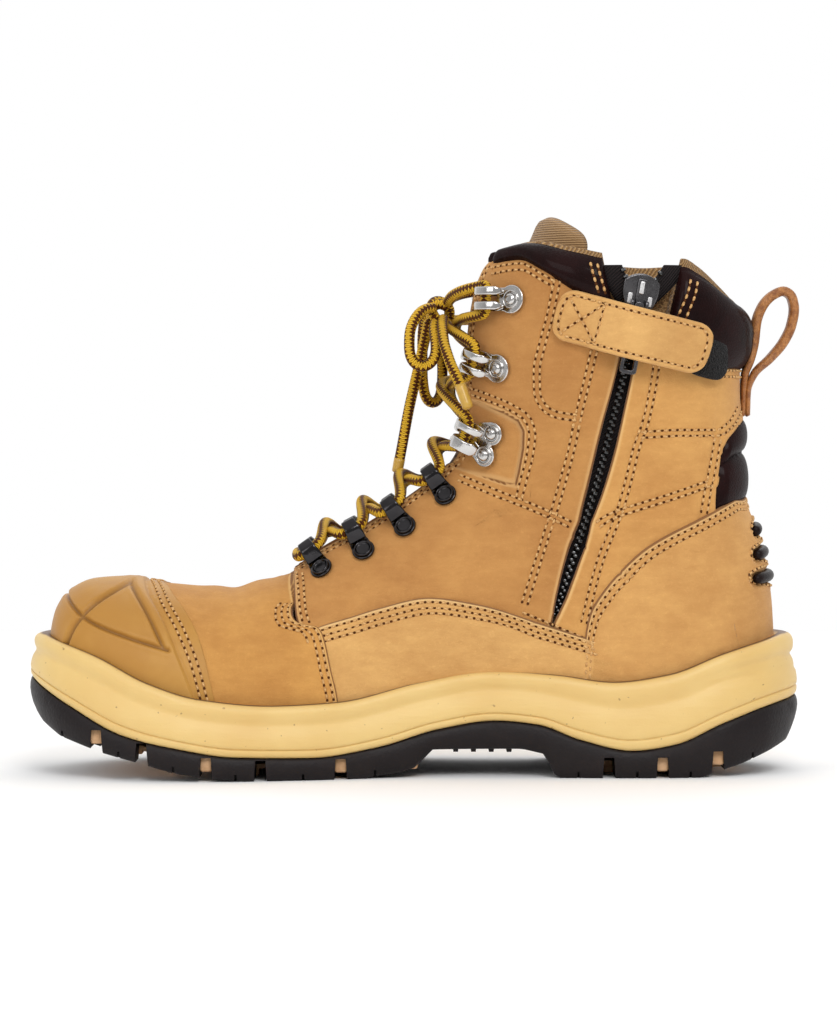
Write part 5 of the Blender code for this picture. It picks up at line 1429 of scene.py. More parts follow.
def collar_ends(side):
    """Where the collar's lower and upper edges start beside the throat."""
    throat = throat_edge(side, 15.0, SHAFT_ROW, 200)
    rows = [top_row(throat, table) for table in (LEATHER_TOP, COLLAR_TOP)]
    found = []
    for row in rows:
        gap = table_at(THROAT_GAP, row) + 5.0
        found.append((row, side * gap / girth_of(row, side)))
    return found


def along_top(table, drop, start, end, side, around=False):
    return side_line(below(table, drop, start, end), side, around=around)


TUCK = 1.5
front_low, front_high = collar_ends(MEDIAL)
low_edge = np.concatenate([[front_low], along_top(LEATHER_TOP, TUCK, -33.0, -78.0, MEDIAL)])
high_edge = np.concatenate([[front_high], along_top(COLLAR_TOP, 0.0, -36.0, -73.0, MEDIAL)])
collar_front = roll("collar_roll_front", low_edge, high_edge, 1.0, 64)
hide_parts("collar_front")
outer_low, outer_high = collar_ends(LATERAL)
outer_low, outer_high = ((row, 2 + turn) for row, turn in (outer_low, outer_high))
low_edge = np.concatenate([
    along_top(LEATHER_TOP, TUCK, -98.0, -128.0, MEDIAL), [(back_row(163.0 - TUCK), 1.0)],
    along_top(LEATHER_TOP, TUCK, -128.0, -33.0, LATERAL, True), [outer_low]])
high_edge = np.concatenate([
    along_top(COLLAR_TOP, 0.0, -105.0, -127.0, MEDIAL), [(back_row(184.4), 1.0)],
    along_top(COLLAR_TOP, 0.0, -127.0, -36.0, LATERAL, True), [outer_high]])
collar_rear = roll("collar_roll_rear", low_edge, high_edge, 1.35, 220)
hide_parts("collar_rear")
collar_rows = []
for rolled, lines in (
    (collar_front, (((-68.6, 202.4), (-71.8, 190.5)), ((-71.2, 201.8), (-74.4, 190.0)))),
    (collar_rear, (((-107.0, 196.0), (-101.6, 181.5)), ((-109.6, 195.2), (-104.2, 180.6)))),
):
    rows = [surface_row(knots, MEDIAL, count=30) for knots in lines]
    collar_rows += settled(rows, leather_skin({"piece": rolled}))
sew("collar_stitches", collar_rows)


# Tongue
# Padded cloth tongue behind the lacing, tan and finely ribbed where it stands above the collar and a greyer
# ribbed mesh below. Its sides fold inside the shaft.

TONGUE_WIDTH = ((8.6, 16), (10, 22), (15, 26), (19, 34), (20.6, 48), (22, 66))
TONGUE_FRONT, TONGUE_THICK = 4.0, 4.6
TONGUE_FOOT, TONGUE_TOP = 8.6, 21.86
tongue_share = np.linspace(0, 1, 170)
tongue_across = np.linspace(-1, 1, 81)
curl = np.abs(tongue_across)
top_of = TONGUE_TOP - 0.5 * curl ** 2.6 - 0.25 * curl ** 10 + 0.04 * np.sin(tongue_across * 7.0)
tongue_rows = TONGUE_FOOT + (top_of - TONGUE_FOOT) * tongue_share[:, None]
half_width = table_at(TONGUE_WIDTH, tongue_rows)
distance = half_width * tongue_across
girth = np.where(distance >= 0, girth_of(tongue_rows, MEDIAL), girth_of(tongue_rows, LATERAL))
points, normals = on_last(tongue_rows, distance / girth)
tucked = np.clip((points[..., 2] - 176.0) / 18.0, 0, 1)
front = -TONGUE_FRONT - 7.6 * tucked
wave = 0.5 * np.sin(points[..., 2] / 5.2) * ease(points[..., 2], 120.0, 150.0) * (1 - np.abs(tongue_across))
edge_fall = 1 - np.abs(tongue_across) ** 6
end_fall = 1 - np.clip((tongue_share[:, None] - 0.985) / 0.015, 0, 1) ** 2
puff = TONGUE_THICK / 2 * np.sqrt(np.maximum(edge_fall * end_fall, 0))
middle = front - TONGUE_THICK / 2 + wave
sheets = [points + normals * (middle + sign * puff)[..., None] for sign in (1, -1)]
loop = np.concatenate([sheets[0], sheets[1][:, ::-1], sheets[0][:, :1]], axis=1)
tongue = closed_grid("tongue_pad", loop)
tongue_cloth, at, surface = material("tongue_cloth", Roughness=0.88, Specular_IOR_Level=0.2, Sheen_Weight=0.2)
height = at.node("ShaderNodeSeparateXYZ", {"Vector": at}, out=2)
fine = at.node("ShaderNodeTexWave", {"Vector": at, "Scale": 330.0, "Distortion": 0.8, "Detail": 1.0,
                                     "Detail Scale": 1.5}, out=1, bands_direction="Z")
coarse = at.node("ShaderNodeTexWave", {"Vector": at, "Scale": 150.0, "Distortion": 0.5}, out=1,
                 bands_direction="Z")
yarn = at.noise(1500.0, 2.0)
above = height.between(0.196, 0.204)
tan = fine.mixed(rgb(0.25, 0.135, 0.055), rgb(0.46, 0.28, 0.125))
grey = coarse.mixed(rgb(0.085, 0.05, 0.03), rgb(0.25, 0.165, 0.105))
feed(surface, Base_Color=above.mixed(grey, tan),
     Normal=bump(above * fine + (1 - above) * coarse + yarn * 0.3, 0.0006, 0.8))
dress(tongue, tongue_cloth, "textile", "tongue")


# Zip
# Chunky moulded teeth on two black tapes behind the slit of the inner quarter. The slider stands at the top,
# and above it the tapes part to each side of the collar's gap.

TAPE_DEPTH, TAPE_REACH = -4.2, 5.4
ZIP_FOOT, ZIP_HEAD = 63.0, 201.0
TOOTH_PITCH, TOOTH_SIZE = 2.7, (1.75, 2.3, 1.9)
SLIDER_Z, PART_Z = 189.0, 183.5
TOOTH_ASIDE = 0.55


def parted(z):
    """How far each tape stands from the zip's middle line above the slider."""
    return 8.4 * np.clip((z - PART_Z) / (ZIP_HEAD - PART_Z), 0, 1) ** 1.1


def zip_row(z, across, lift):
    points, normals = wall(line(ZIP_LINE, z) + across, z, MEDIAL)
    return points + normals * np.reshape(lift, (-1, 1)), normals


tape_cloth, at, surface = material("zip_tape", Roughness=0.8, Specular_IOR_Level=0.3)
weave = at.node("ShaderNodeTexWave", {"Vector": at, "Scale": 420.0, "Distortion": 1.0}, out=1,
                bands_direction="DIAGONAL")
feed(surface, Base_Color=weave.mixed(rgb(0.003, 0.002, 0.002), rgb(0.016, 0.009, 0.009)),
     Normal=bump(weave, 0.0005, 0.7))
tooth_plastic, at, surface = material("zip_teeth", Specular_IOR_Level=0.8)
feed(surface, Base_Color=at.noise(400.0).mixed(rgb(0.0015, 0.0015, 0.0015), rgb(0.004, 0.004, 0.004)),
     Roughness=0.1 + 0.08 * at.noise(700.0))

bpy.ops.object.select_all(action="DESELECT")
bpy.ops.mesh.primitive_cube_add(size=1)
tooth_model = bpy.context.object
tooth_model.scale = TOOTH_SIZE
bpy.ops.object.transform_apply()
bevel = tooth_model.modifiers.new("edges", "BEVEL")
bevel.width, bevel.segments = 0.85, 3
bpy.ops.object.modifier_apply(modifier="edges")
tooth_shape = np.array([v.co for v in tooth_model.data.vertices])
tooth_faces = [tuple(p.vertices) for p in tooth_model.data.polygons]
bpy.data.objects.remove(tooth_model)

TAPE_SECTION = (
    # share of the tape's width, rise
    (0, 0), (0.06, 0.25), (0.3, 0.1), (0.7, 0), (1, 0), (1, -1), (0, -1), (0, 0),
)
for tape_name, toward in (("front", 1.0), ("rear", -1.0)):
    z = np.linspace(ZIP_FOOT, ZIP_HEAD, 90)
    shift = parted(z)
    wide = TAPE_REACH + 4.5 * ease(z, 180.0, 196.0)
    lift = TAPE_DEPTH + 2.4 * ease(z, 178.0, 192.0)
    strips = []
    for share, rise in TAPE_SECTION:
        strips.append(zip_row(z, toward * (shift + 0.2 + wide * share), lift + rise)[0])
    tape = closed_grid("zip_tape_" + tape_name + "_cloth", np.array(strips))
    tape.data.materials.append(tape_cloth)
    start = ZIP_FOOT + 1.0 + (TOOTH_PITCH / 2 if toward < 0 else 0.0)
    tooth_z = np.arange(start, ZIP_HEAD - 1.0, TOOTH_PITCH)
    tooth_lift = TAPE_DEPTH + 1.6 + 1.2 * ease(tooth_z, 70.0, 100.0)
    centre, out = zip_row(tooth_z, toward * (parted(tooth_z) + TOOTH_ASIDE), tooth_lift)
    after = zip_row(tooth_z + 0.5, toward * (parted(tooth_z + 0.5) + TOOTH_ASIDE), tooth_lift)[0]
    ahead = unit(after - centre)
    aside = np.cross(out, ahead)
    axes = np.stack([ahead, aside, np.cross(ahead, aside)], axis=1)
    size = 0.75 + 0.25 * ease(tooth_z, 66.0, 84.0)
    placed = centre[:, None] + np.einsum("vk,nkc->nvc", tooth_shape, axes) * size[:, None, None]
    faces = [tuple(k * len(tooth_shape) + v for v in f) for k in range(len(tooth_z)) for f in tooth_faces]
    mesh = bpy.data.meshes.new("teeth")
    mesh.from_pydata((placed.reshape(-1, 3) * MM).tolist(), [], faces)
    mesh.materials.append(tooth_plastic)
    teeth = bpy.data.objects.new("zip_teeth_" + tape_name, mesh)
    bpy.context.scene.collection.objects.link(teeth)
    for piece in (tape, teeth):
        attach(piece, "boot")
        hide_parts("zip_tape_" + tape_name)


def wall_frame(x, z, side, toward, lift):
    """Matrix with its origin on the wall: X along the wall towards a place, Z out of the wall. In metres."""
    points, normals = wall((x, toward[0]), (z, toward[1]), side)
    points = points + normals * lift
    normal = Vector(normals[0])
    ahead = Vector(points[1] - points[0])
    ahead = (ahead - normal * ahead.dot(normal)).normalized()
    matrix = Matrix((ahead, normal.cross(ahead), normal)).transposed().to_4x4()
    matrix.translation = Vector(points[0]) * MM
    return matrix


def plate(name, outline_points, low, high, edge, hole=None):
    """A flat plate with rounded edges, from an outline in millimetres."""
    bpy.ops.object.select_all(action="DESELECT")
    bpy.ops.curve.primitive_bezier_circle_add(location=(0, 0, 0))
    made = bpy.context.object
    made.data.splines.clear()
    made.data.dimensions = "2D"
    made.data.fill_mode = "BOTH"
    made.data.extrude = (high - low) / 2 * MM - edge * MM
    made.data.bevel_depth = edge * MM
    made.data.bevel_resolution = 2
    made.data.offset = -edge * MM
    for ring_points in (outline_points, hole):
        if ring_points is None:
            continue
        spline = made.data.splines.new("POLY")
        spline.points.add(len(ring_points) - 1)
        spline.use_cyclic_u = True
        for point, (x, y) in zip(spline.points, ring_points):
            point.co = (x * MM, y * MM, 0.0, 1.0)
    bpy.ops.object.convert(target="MESH")
    made = bpy.context.object
    made.name = made.data.name = name
    for vert in made.data.vertices:
        vert.co.z += (low + high) / 2 * MM
    bpy.ops.object.shade_smooth_by_angle(angle=math.radians(45))
    return made


def placed_by(piece, matrix):
    """Moves a piece's mesh to its place and leaves its object at the origin."""
    piece.data.transform(matrix)
    piece.data.update()
    return piece


def rounded(corners, radius, steps=5):
    """An outline with its corners rounded."""
    found = []
    corners = np.array(corners, float)
    for i, corner in enumerate(corners):
        before, after = corners[i - 1] - corner, corners[(i + 1) % len(corners)] - corner
        reach = min(radius, np.linalg.norm(before) * 0.45, np.linalg.norm(after) * 0.45)
        start = corner + before / np.linalg.norm(before) * reach
        end = corner + after / np.linalg.norm(after) * reach
        for t in np.linspace(0, 1, steps):
            found.append((1 - t) ** 2 * start + 2 * t * (1 - t) * corner + t * t * end)
    return np.array(found)


def metal(name, low, high, rough, wear_and_shade):
    made, at, surface = material(name, Metallic=1.0)
    haze = at.noise(160.0, 3.0)
    pits = at.noise(900.0, 2.0)
    feed(surface, Base_Color=haze.mixed(low, high), Roughness=rough + wear_and_shade * haze.between(0.45, 0.8),
         Normal=bump(pits, 0.00012, 0.3))
    return made


gunmetal = metal("zip_metal", rgb(0.055, 0.052, 0.055), rgb(0.16, 0.155, 0.16), 0.24, 0.15)

SLIDER_LIFT = -0.15
TAB_HINGE, TAB_LENGTH, TAB_LIFT = 4.0, 27.0, 4.25
slider_foot = SLIDER_Z - 12.0
slider_x, foot_x = (float(line(ZIP_LINE, z)) for z in (SLIDER_Z, slider_foot))
slider_place = wall_frame(slider_x, SLIDER_Z, MEDIAL, (foot_x, slider_foot), SLIDER_LIFT)
shield = [(-8.6 + 3.2 * abs(t) ** 2, 7.2 * t) for t in np.linspace(-1, 1, 15)]
shield += [(-1.0, 7.2), (3.0, 6.2), (7.6, 4.3), (7.6, -4.3), (3.0, -6.2), (-1.0, -7.2)]
slider_parts = [
    plate("shield", rounded(shield, 1.2, 3), 0.2, 2.2, 0.5),
    plate("bridge", rounded([(-6.6, -1.9), (-6.6, 1.9), (3.6, 1.9), (3.6, -1.9)], 0.8), 2.0, 3.2, 0.4),
]
for y in (-2.9, 2.9):
    ear = plate("ear", rounded([(-2.2, -2.0), (2.2, -2.0), (2.2, 2.0), (-2.2, 2.0)], 1.4), -0.65, 0.65, 0.25)
    upright = Matrix.Rotation(math.pi / 2, 4, "X")
    slider_parts.append(placed_by(ear, Matrix.Translation((MM * TAB_HINGE, MM * y, 0.0031)) @ upright))
slider = placed_by(joined(slider_parts, "slider_body"), slider_place)
dress(slider, gunmetal, "zip_metal", "zip_slider")

# The slider's raised bars get a much paler metal than the slider: painted highlights on the same gunmetal.
slider_glint_bars = []
for x, y, long, high in ((-5.6, 0.0, 5.0, 3.6), (0.0, 4.0, 4.0, 2.9), (-0.6, -4.0, 4.4, 2.9)):
    corners = [(x, y - 0.9), (x, y + 0.9), (x + long, y + 0.9), (x + long, y - 0.9)]
    slider_glint_bars.append(plate("bar", rounded(corners, 0.5), 2.0, high, 0.3))
slider_glint_bars = placed_by(joined(slider_glint_bars, "slider_glint_bars"), slider_place)
glint_metal = metal("zip_bright_metal", rgb(0.70, 0.69, 0.70), rgb(0.92, 0.91, 0.90), 0.3, 0.1)
dress(slider_glint_bars, glint_metal, "zip_metal", "zip_slider")

TAB_HALF, TAB_NECK = 3.4, 1.9
tab_outline = [(-1.6, -TAB_NECK), (3.0, -TAB_NECK), (8.0, -TAB_HALF), (TAB_LENGTH, -TAB_HALF),
               (TAB_LENGTH, TAB_HALF), (8.0, TAB_HALF), (3.0, TAB_NECK), (-1.6, TAB_NECK)]
window_start, window_end = TAB_LENGTH - 8.0, TAB_LENGTH - 1.7
window = [(window_start, -1.9), (window_start, 1.9), (window_end, 1.9), (window_end, -1.9)]
tab = plate("pull_tab", rounded(tab_outline, 1.8), -0.8, 0.8, 0.35, rounded(window, 1.0))
hinge = slider_place @ Matrix.Translation((MM * TAB_HINGE, 0.0, MM * TAB_LIFT))
placed_by(tab, hinge)
tab.data.materials.append(gunmetal)
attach(tab, "zip_tab")
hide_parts("zip_pull")


# Zip strap
# A double-thickness nubuck strap, box-stitched in front of the zip. It crosses over the slider, and its free
# end is held by a black hook patch on the collar.

STRAP_START, STRAP_END, STRAP_HALF = np.array((-55.8, 182.5)), np.array((-111.8, 167.6)), 10.2
STRAP_LIFT = ((0, 0.5), (0.2, 0.7), (0.36, 5.5), (0.48, 8), (0.62, 7.8), (0.8, 5.6), (1, 5))
STRAP_THICK = 2.6
strap_along = STRAP_END - STRAP_START
strap_length = float(np.linalg.norm(strap_along))
strap_side = np.array((strap_along[1], -strap_along[0])) / strap_length


def on_strap(share, across, rise):
    """Points and normals of the strap, by the share of its length and the distance from its middle line."""
    share, across, rise = np.broadcast_arrays(*(np.asarray(value, float) for value in (share, across, rise)))
    flat = STRAP_START + strap_along * share[..., None] + strap_side * across[..., None]
    points, normals = wall(flat[..., 0], flat[..., 1], MEDIAL)
    lift = line(STRAP_LIFT, np.clip(share.ravel(), 0, 1)) + rise.ravel()
    return (points + normals * lift[:, None]).reshape(*share.shape, 3), normals.reshape(*share.shape, 3)


CORNER = 6.0
lengths = np.concatenate([np.linspace(0, 7, 15), np.linspace(8, strap_length - 8, 56),
                          np.linspace(strap_length - 7, strap_length, 15)])
from_end = np.minimum(lengths, strap_length - lengths)
in_corner = np.clip(CORNER - from_end, 0, CORNER)
strap_half = STRAP_HALF - CORNER + np.sqrt(np.maximum(CORNER ** 2 - in_corner ** 2, 0))
strap_rim = (
    # share of the half width, height over the underside
    (0, 0), (0.5, 0), (0.9, 0), (0.965, 0.12), (0.99, 0.5), (1, 1.2), (0.985, 2), (0.95, 2.45),
    (0.88, 2.6), (0.83, 2.45), (0.79, 2.28), (0.75, 2.45), (0.68, 2.62), (0.4, 2.72), (0, 2.75),
)
strap_section = list(strap_rim) + [(-s, h) for s, h in strap_rim[::-1]]
strap_grid = np.array([on_strap(lengths / strap_length, strap_half * s, h)[0] for s, h in strap_section])
strap = closed_grid("strap_leather", strap_grid)
pick(strap)
bpy.ops.object.mode_set(mode="EDIT")
bpy.ops.mesh.select_all(action="DESELECT")
bpy.ops.mesh.select_mode(type="EDGE")
bpy.ops.mesh.select_non_manifold()
bpy.ops.mesh.edge_face_add()
bpy.ops.object.mode_set(mode="OBJECT")
weight(strap, "rim", np.zeros(len(strap.data.vertices)))
dress(strap, NUBUCK["side"], "nubuck", "zip_strap")

STITCH_IN = 2.1
inset_half = STRAP_HALF - STITCH_IN
box_end = 17.0
strap_top = STRAP_THICK - 0.05
path_length = np.linspace(STITCH_IN + 3.0, strap_length - STITCH_IN - 3.6, 60)
rows = [on_strap(path_length / strap_length, side * inset_half, strap_top) for side in (-1, 1)]
turn = np.linspace(-1, 1, 30)
for end, sign in ((STITCH_IN, -1), (strap_length - STITCH_IN, 1)):
    bow = end - sign * 3.0 * np.abs(turn) ** 4
    rows.append(on_strap(bow / strap_length, turn * inset_half, strap_top))
rows.append(on_strap(np.full(30, box_end / strap_length), turn * inset_half, strap_top))
for sign in (-1, 1):
    rows.append(on_strap((STITCH_IN + 2.0 + (box_end - STITCH_IN - 3.0) * (turn + 1) / 2) / strap_length,
                         sign * turn * (inset_half - 1.4), strap_top))
sew("strap_stitches", settled(rows, leather_skin({"piece": strap})))

grip, at, surface = material("hook_patch", Roughness=0.95, Specular_IOR_Level=0.15, Sheen_Weight=0.1)
hooks = at.noise(1500.0, 2.0)
feed(surface, Base_Color=hooks.between(0.35, 0.7).mixed(rgb(0.003, 0.003, 0.003), rgb(0.016, 0.014, 0.014)),
     Normal=bump(hooks, 0.0012, 1.0))
patch_x = np.linspace(-104.0, -120.2, 34)
PATCH_SECTION = (
    # share of the patch's width, height over the last
    (0, 3), (0, 3.9), (0.04, 4.5), (0.2, 4.6), (0.4, 4.65), (0.6, 4.65), (0.8, 4.6), (0.96, 4.5),
    (1, 3.9), (1, 3), (0, 3),
)
patch_rows = []
for share, rise in PATCH_SECTION:
    bulge = np.sqrt(np.maximum(1 - ((patch_x + 112.1) / 8.6) ** 4, 0))
    z = 166.6 + 0.27 * (patch_x + 112.0) + (share - 0.5) * 19.0 * bulge
    points, normals = wall(patch_x, z, MEDIAL)
    patch_rows.append(points + normals * rise)
patch = closed_grid("hook_patch", np.array(patch_rows))
dress(patch, grip, "zip_tape", "strap_grip")


# Pull loop
# A folded strip of oiled brown leather, sewn into the back seam and standing up behind the collar.
# Its face is streaked, and polished in places by the hand.

LOOP_PATH = ((-132, 141.5), (-132.2, 150), (-132.8, 158), (-135, 164.6), (-136.6, 171.7), (-137.5, 179.5),
             (-140, 186.1), (-144.1, 190.5), (-148.3, 192.2), (-151.6, 190), (-152.7, 184.8),
             (-151.6, 178.4), (-148.4, 171.6), (-142.9, 165), (-136.8, 159), (-134.1, 152),
             (-133.7, 141.5))
LOOP_THICK, LOOP_HALF = (2.3, 3.9), 4.7
path = along_curve(LOOP_PATH, 150)
ahead = unit(np.gradient(path, axis=0))
out = np.stack([-ahead[:, 1], ahead[:, 0]], axis=1)


def blunt(value, power):
    """A sine or cosine bent towards the corners of a square."""
    return math.copysign(abs(value) ** power, value)


loop_section = [(blunt(math.cos(t), 0.45), blunt(math.sin(t), 0.8)) for t in np.linspace(0, 2 * math.pi, 33)]
thick = LOOP_THICK[0] + (LOOP_THICK[1] - LOOP_THICK[0]) * ease(path[:, 1], 148.0, 172.0)[:, None]
loop_rows = []
for across, rise in loop_section:
    flat = path + out * (rise * thick / 2)
    loop_rows.append(np.column_stack([flat[:, 0], np.full(len(path), across * LOOP_HALF), flat[:, 1]]))
loop_rows = np.array(loop_rows)
for end in (0, -1):
    loop_rows[:, end] = loop_rows[:, end].mean(axis=0)
pull_loop = closed_grid("pull_loop_leather", loop_rows)
oiled, at, surface = material("oiled_leather", Specular_IOR_Level=0.45, Coat_Roughness=0.3)
streaks = at.node("ShaderNodeMapping", {"Vector": at, "Scale": (1.0, 0.35, 1.0)}).noise(420.0, 5.0, 0.75)
patches = at.noise(90.0, 3.0)
shine = patches.between(0.45, 0.7)
tone = streaks.between(0.3, 0.72).mixed(rgb(0.22, 0.070, 0.016), rgb(0.50, 0.21, 0.058))
feed(surface, Base_Color=tone, Roughness=0.55 - 0.2 * shine,
     Normal=bump(streaks, 0.0009, 0.6), Coat_Weight=0.3 * shine)
dress(pull_loop, oiled, "nubuck", "pull_loop")


# Eyelets and hooks
# Four closed loop eyelets of dark nickel a side, then an ankle hook on two rivets and two open speed hooks of
# bright nickel. Each is bent from sheet and riveted through the quarter.

FITTINGS = {
    # name: rivet x, z and the lace's place x, z beside it
    "eyelet_1": ((37.3, 81.5), (41.8, 88.6)), "eyelet_2": ((20.8, 88.9), (26, 96.1)),
    "eyelet_3": ((4.3, 98.4), (9.9, 105.6)), "eyelet_4": ((-11.8, 110.9), (-6.7, 117.8)),
    "ankle_hook": ((-29, 131), (-19, 137.5)), "top_hook_1": ((-32.2, 161.1), (-22.5, 166)),
    "top_hook_2": ((-37.6, 187.8), (-27, 187.5)),
}
EYELET_LINE = ((0.6, 0.7), (3.4, 0.7), (7, 0.9), (10.4, 2.4), (11.5, 5), (9.6, 7.3), (6.4, 6.9),
               (3.9, 4.2), (2.6, 1.9))
PRONG_LINE = ((1.6, 0.9), (5, 0.8), (7.8, 0.8), (11.2, 2.6), (12.3, 5.6), (10.4, 7.8), (6.6, 8), (3, 7.2),
              (1.2, 5.6), (0.9, 4.2))
DOME_PROFILE = ((0.01, 2.8), (1.2, 2.75), (2, 2.45), (2.35, 1.8), (2.5, 1.25), (2.85, 1.2), (3.05, 1.75),
                (3.35, 2), (3.65, 1.65), (3.7, 0.9), (3.7, 0.2))
DISH_PROFILE = ((0.01, 1.45), (1.6, 1.45), (2.5, 1.5), (2.8, 1.75), (3, 2.15), (3.35, 2.35), (3.7, 2.1),
                (3.85, 1.5), (3.85, 0.3))


RIBBON_STEPS, RIBBON_SIDES = 46, 20


def ribbon(name, centre, half_width, half_thick, shift=0.0):
    """A bent strip of sheet metal: its middle line in X and Z, and half widths along it."""
    curve = along_curve(centre, RIBBON_STEPS)
    ahead = unit(np.gradient(curve, axis=0))
    out = np.stack([-ahead[:, 1], ahead[:, 0]], axis=1)
    wide = half_width(np.linspace(0, 1, RIBBON_STEPS))
    rows = []
    for t in np.linspace(0, 2 * math.pi, RIBBON_SIDES + 1):
        across = blunt(math.cos(t), 0.35)
        rise = blunt(math.sin(t), 0.6) * half_thick
        flat = curve + out * rise
        rows.append(np.column_stack([flat[:, 0], shift + across * wide, flat[:, 1]]))
    rows = np.array(rows)
    for end in (0, -1):
        rows[:, end] = rows[:, end].mean(axis=0)
    return closed_grid(name, rows)


def lobe(radius, centre, low, high):
    """Points of an arc about a rivet, its angles in degrees."""
    turn = np.radians(np.linspace(low, high, 20))
    return [(centre[0] + radius * math.cos(t), centre[1] + radius * math.sin(t)) for t in turn]


def rivet(x, y, rivet_profile):
    turn = np.linspace(0, 2 * math.pi, 29)
    profile = along_curve(rivet_profile, 30)
    rows = np.array([np.column_stack([x + r * np.cos(turn), y + r * np.sin(turn), turn * 0 + z])
                     for r, z in profile])
    return closed_grid("rivet", rows)


def prong_width(half):
    return lambda share: half * np.minimum(1, 0.35 + 6 * np.minimum(share, 1 - share))


def eyelet_width(share):
    """As wide as the round end at first, narrower at the cap, and a return that widens again."""
    return 2.75 + 1.15 * np.cos(math.pi * np.clip(share, 0, 0.9) / 1.1) ** 2


eyelet_plate = lobe(4.6, (-1.4, 0.0), 62, 298) + [(3.0, -3.9), (3.0, 3.9)]
top_plate = lobe(5.7, (-1.4, 0.0), 56, 304) + [(5.4, -4.7), (5.4, 4.7)]
ankle_plate = lobe(4.7, (-1.0, 4.7), 60, 250) + lobe(4.7, (-1.0, -4.7), 110, 300) + [(6.4, -6.2), (6.4, 6.2)]
fitting_models = {
    "eyelet": [plate("base", eyelet_plate, 0.1, 1.3, 0.35), ribbon("strip", EYELET_LINE, eyelet_width, 0.55),
               rivet(-1.4, 0.0, DISH_PROFILE)],
    "ankle": [plate("base", ankle_plate, 0.1, 1.35, 0.35), rivet(-1.0, 4.7, DOME_PROFILE),
              rivet(-1.0, -4.7, DOME_PROFILE),
              ribbon("strip", PRONG_LINE, prong_width(2.5), 0.7, 3.6),
              ribbon("strip", PRONG_LINE, prong_width(1.5), 0.7, -3.8)],
    "top": [plate("base", top_plate, 0.1, 1.35, 0.35), rivet(-1.4, 0.0, DOME_PROFILE),
            ribbon("strip", PRONG_LINE, prong_width(1.65), 0.65, 2.95),
            ribbon("strip", PRONG_LINE, prong_width(1.65), 0.65, -2.95)],
}
fitting_models = {kind: joined(parts, kind) for kind, parts in fitting_models.items()}
dark_nickel = metal("dark_nickel", rgb(0.022, 0.021, 0.022), rgb(0.06, 0.057, 0.06), 0.1, 0.08)
bright_nickel = metal("bright_nickel", rgb(0.50, 0.485, 0.47), rgb(0.72, 0.705, 0.69), 0.15, 0.14)
FITTING_LIFT = 0.4
fitting_frames = {}
for side_name, side in SIDES.items():
    for name, (rivet_place, lace_place) in FITTINGS.items():
        kind = name.split("_")[0]
        matrix = wall_frame(*rivet_place, side, lace_place, FITTING_LIFT)
        fitting_frames[name, side] = matrix
        piece = fitting_models[kind].copy()
        piece.data = fitting_models[kind].data.copy()
        piece.name = piece.data.name = f"{name}_{side_name}_metal"
        bpy.context.scene.collection.objects.link(piece)
        placed_by(piece, matrix)
        bright = kind != "eyelet"
        piece.data.materials.append(bright_nickel if bright else dark_nickel)
        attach(piece, "boot")
        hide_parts(f"{name}_{side_name}")
for model in fitting_models.values():
    bpy.data.objects.remove(model)


# Lace
# One round braided lace, gold with dark brown bands. It crosses from side to side up to the top hooks and is
# tied there in a bow, with two loops and two short ends that hang free.

LACE_RADIUS, LACE_TAPER, LACE_SIDES = 2.15, 1.2, 16
KNOT = np.array((-12.0, 1.0, 183.6))
CARRY = {"eyelet": (8, 4), "ankle": (8.6, 4.2), "top": (8.6, 4.2)}
REACH = {"eyelet": 5.6, "ankle": 6.6, "top": 7.1}
OVER, UNDER = 3.0, -1.2


def carried(name, side, along):
    """Where the lace runs at a fitting, a distance up the boot from its middle."""
    matrix = fitting_frames[name, side]
    ahead, lift = CARRY[name.split("_")[0]]
    up = np.array(matrix.to_3x3().col[1])
    up = up if up[2] > 0 else -up
    return np.array(matrix @ Vector((ahead * MM, 0.0, lift * MM))) * 1000 + up * along


def crossing(start, end, extra):
    """Points between two fittings, bowed out over the tongue."""
    middle = (start + end) / 2
    row = spot(middle[:1], middle[2:], MEDIAL)[0, 0]
    front = on_last(row, 0.0)[0]
    i = min(int(row * ROW_STEPS), len(ROWS) - 1)
    outward = unit(np.array((FRONT_X[i] - BACK_X[i], 0.0, FRONT_Z[i] - BACK_Z[i])))
    front[1] = middle[1]
    rise = max(float((front - middle) @ outward) + LACE_RADIUS + 1.4, 2.0)
    path = []
    for t in np.linspace(0, 1, 9)[1:-1]:
        swell = math.sin(math.pi * t)
        path.append(start + (end - start) * t + outward * (rise * swell ** 0.7 + extra * swell ** 3))
    return path


def strand(first_side):
    """Points of one half of the lace, from the foot of the lacing up to the knot."""
    names = list(FITTINGS)
    side = first_side
    path = []
    for index, name in enumerate(names):
        reach = REACH[name.split("_")[0]]
        for along in (-reach * 0.8, 0.0, reach * 0.8):
            path.append(carried(name, side, along))
        if index + 1 < len(names):
            after = names[index + 1]
            end = carried(after, -side, -REACH[after.split("_")[0]])
            over = (index % 2 == 0) == (first_side == MEDIAL)
            path += crossing(carried(name, side, reach), end, OVER if over else UNDER)
            side = -side
    start, end = path[-1], KNOT + (-1.0, side * 4.4, 3.6)
    path += [start + (end - start) * 0.35 + (3.5, 0, 0.5), start + (end - start) * 0.7 + (3.0, 0, 0.5), end]
    return path


def even_curve(points, spacing):
    """Evenly spaced points on a rounded curve through a route."""
    route = np.asarray(points, float)
    fine = along_curve(route, max(int(np.linalg.norm(np.diff(route, axis=0), axis=1).sum() / spacing), 8))
    for _ in range(3):
        fine[1:-1] = fine[1:-1] * 0.5 + (fine[:-2] + fine[2:]) * 0.25
    return fine


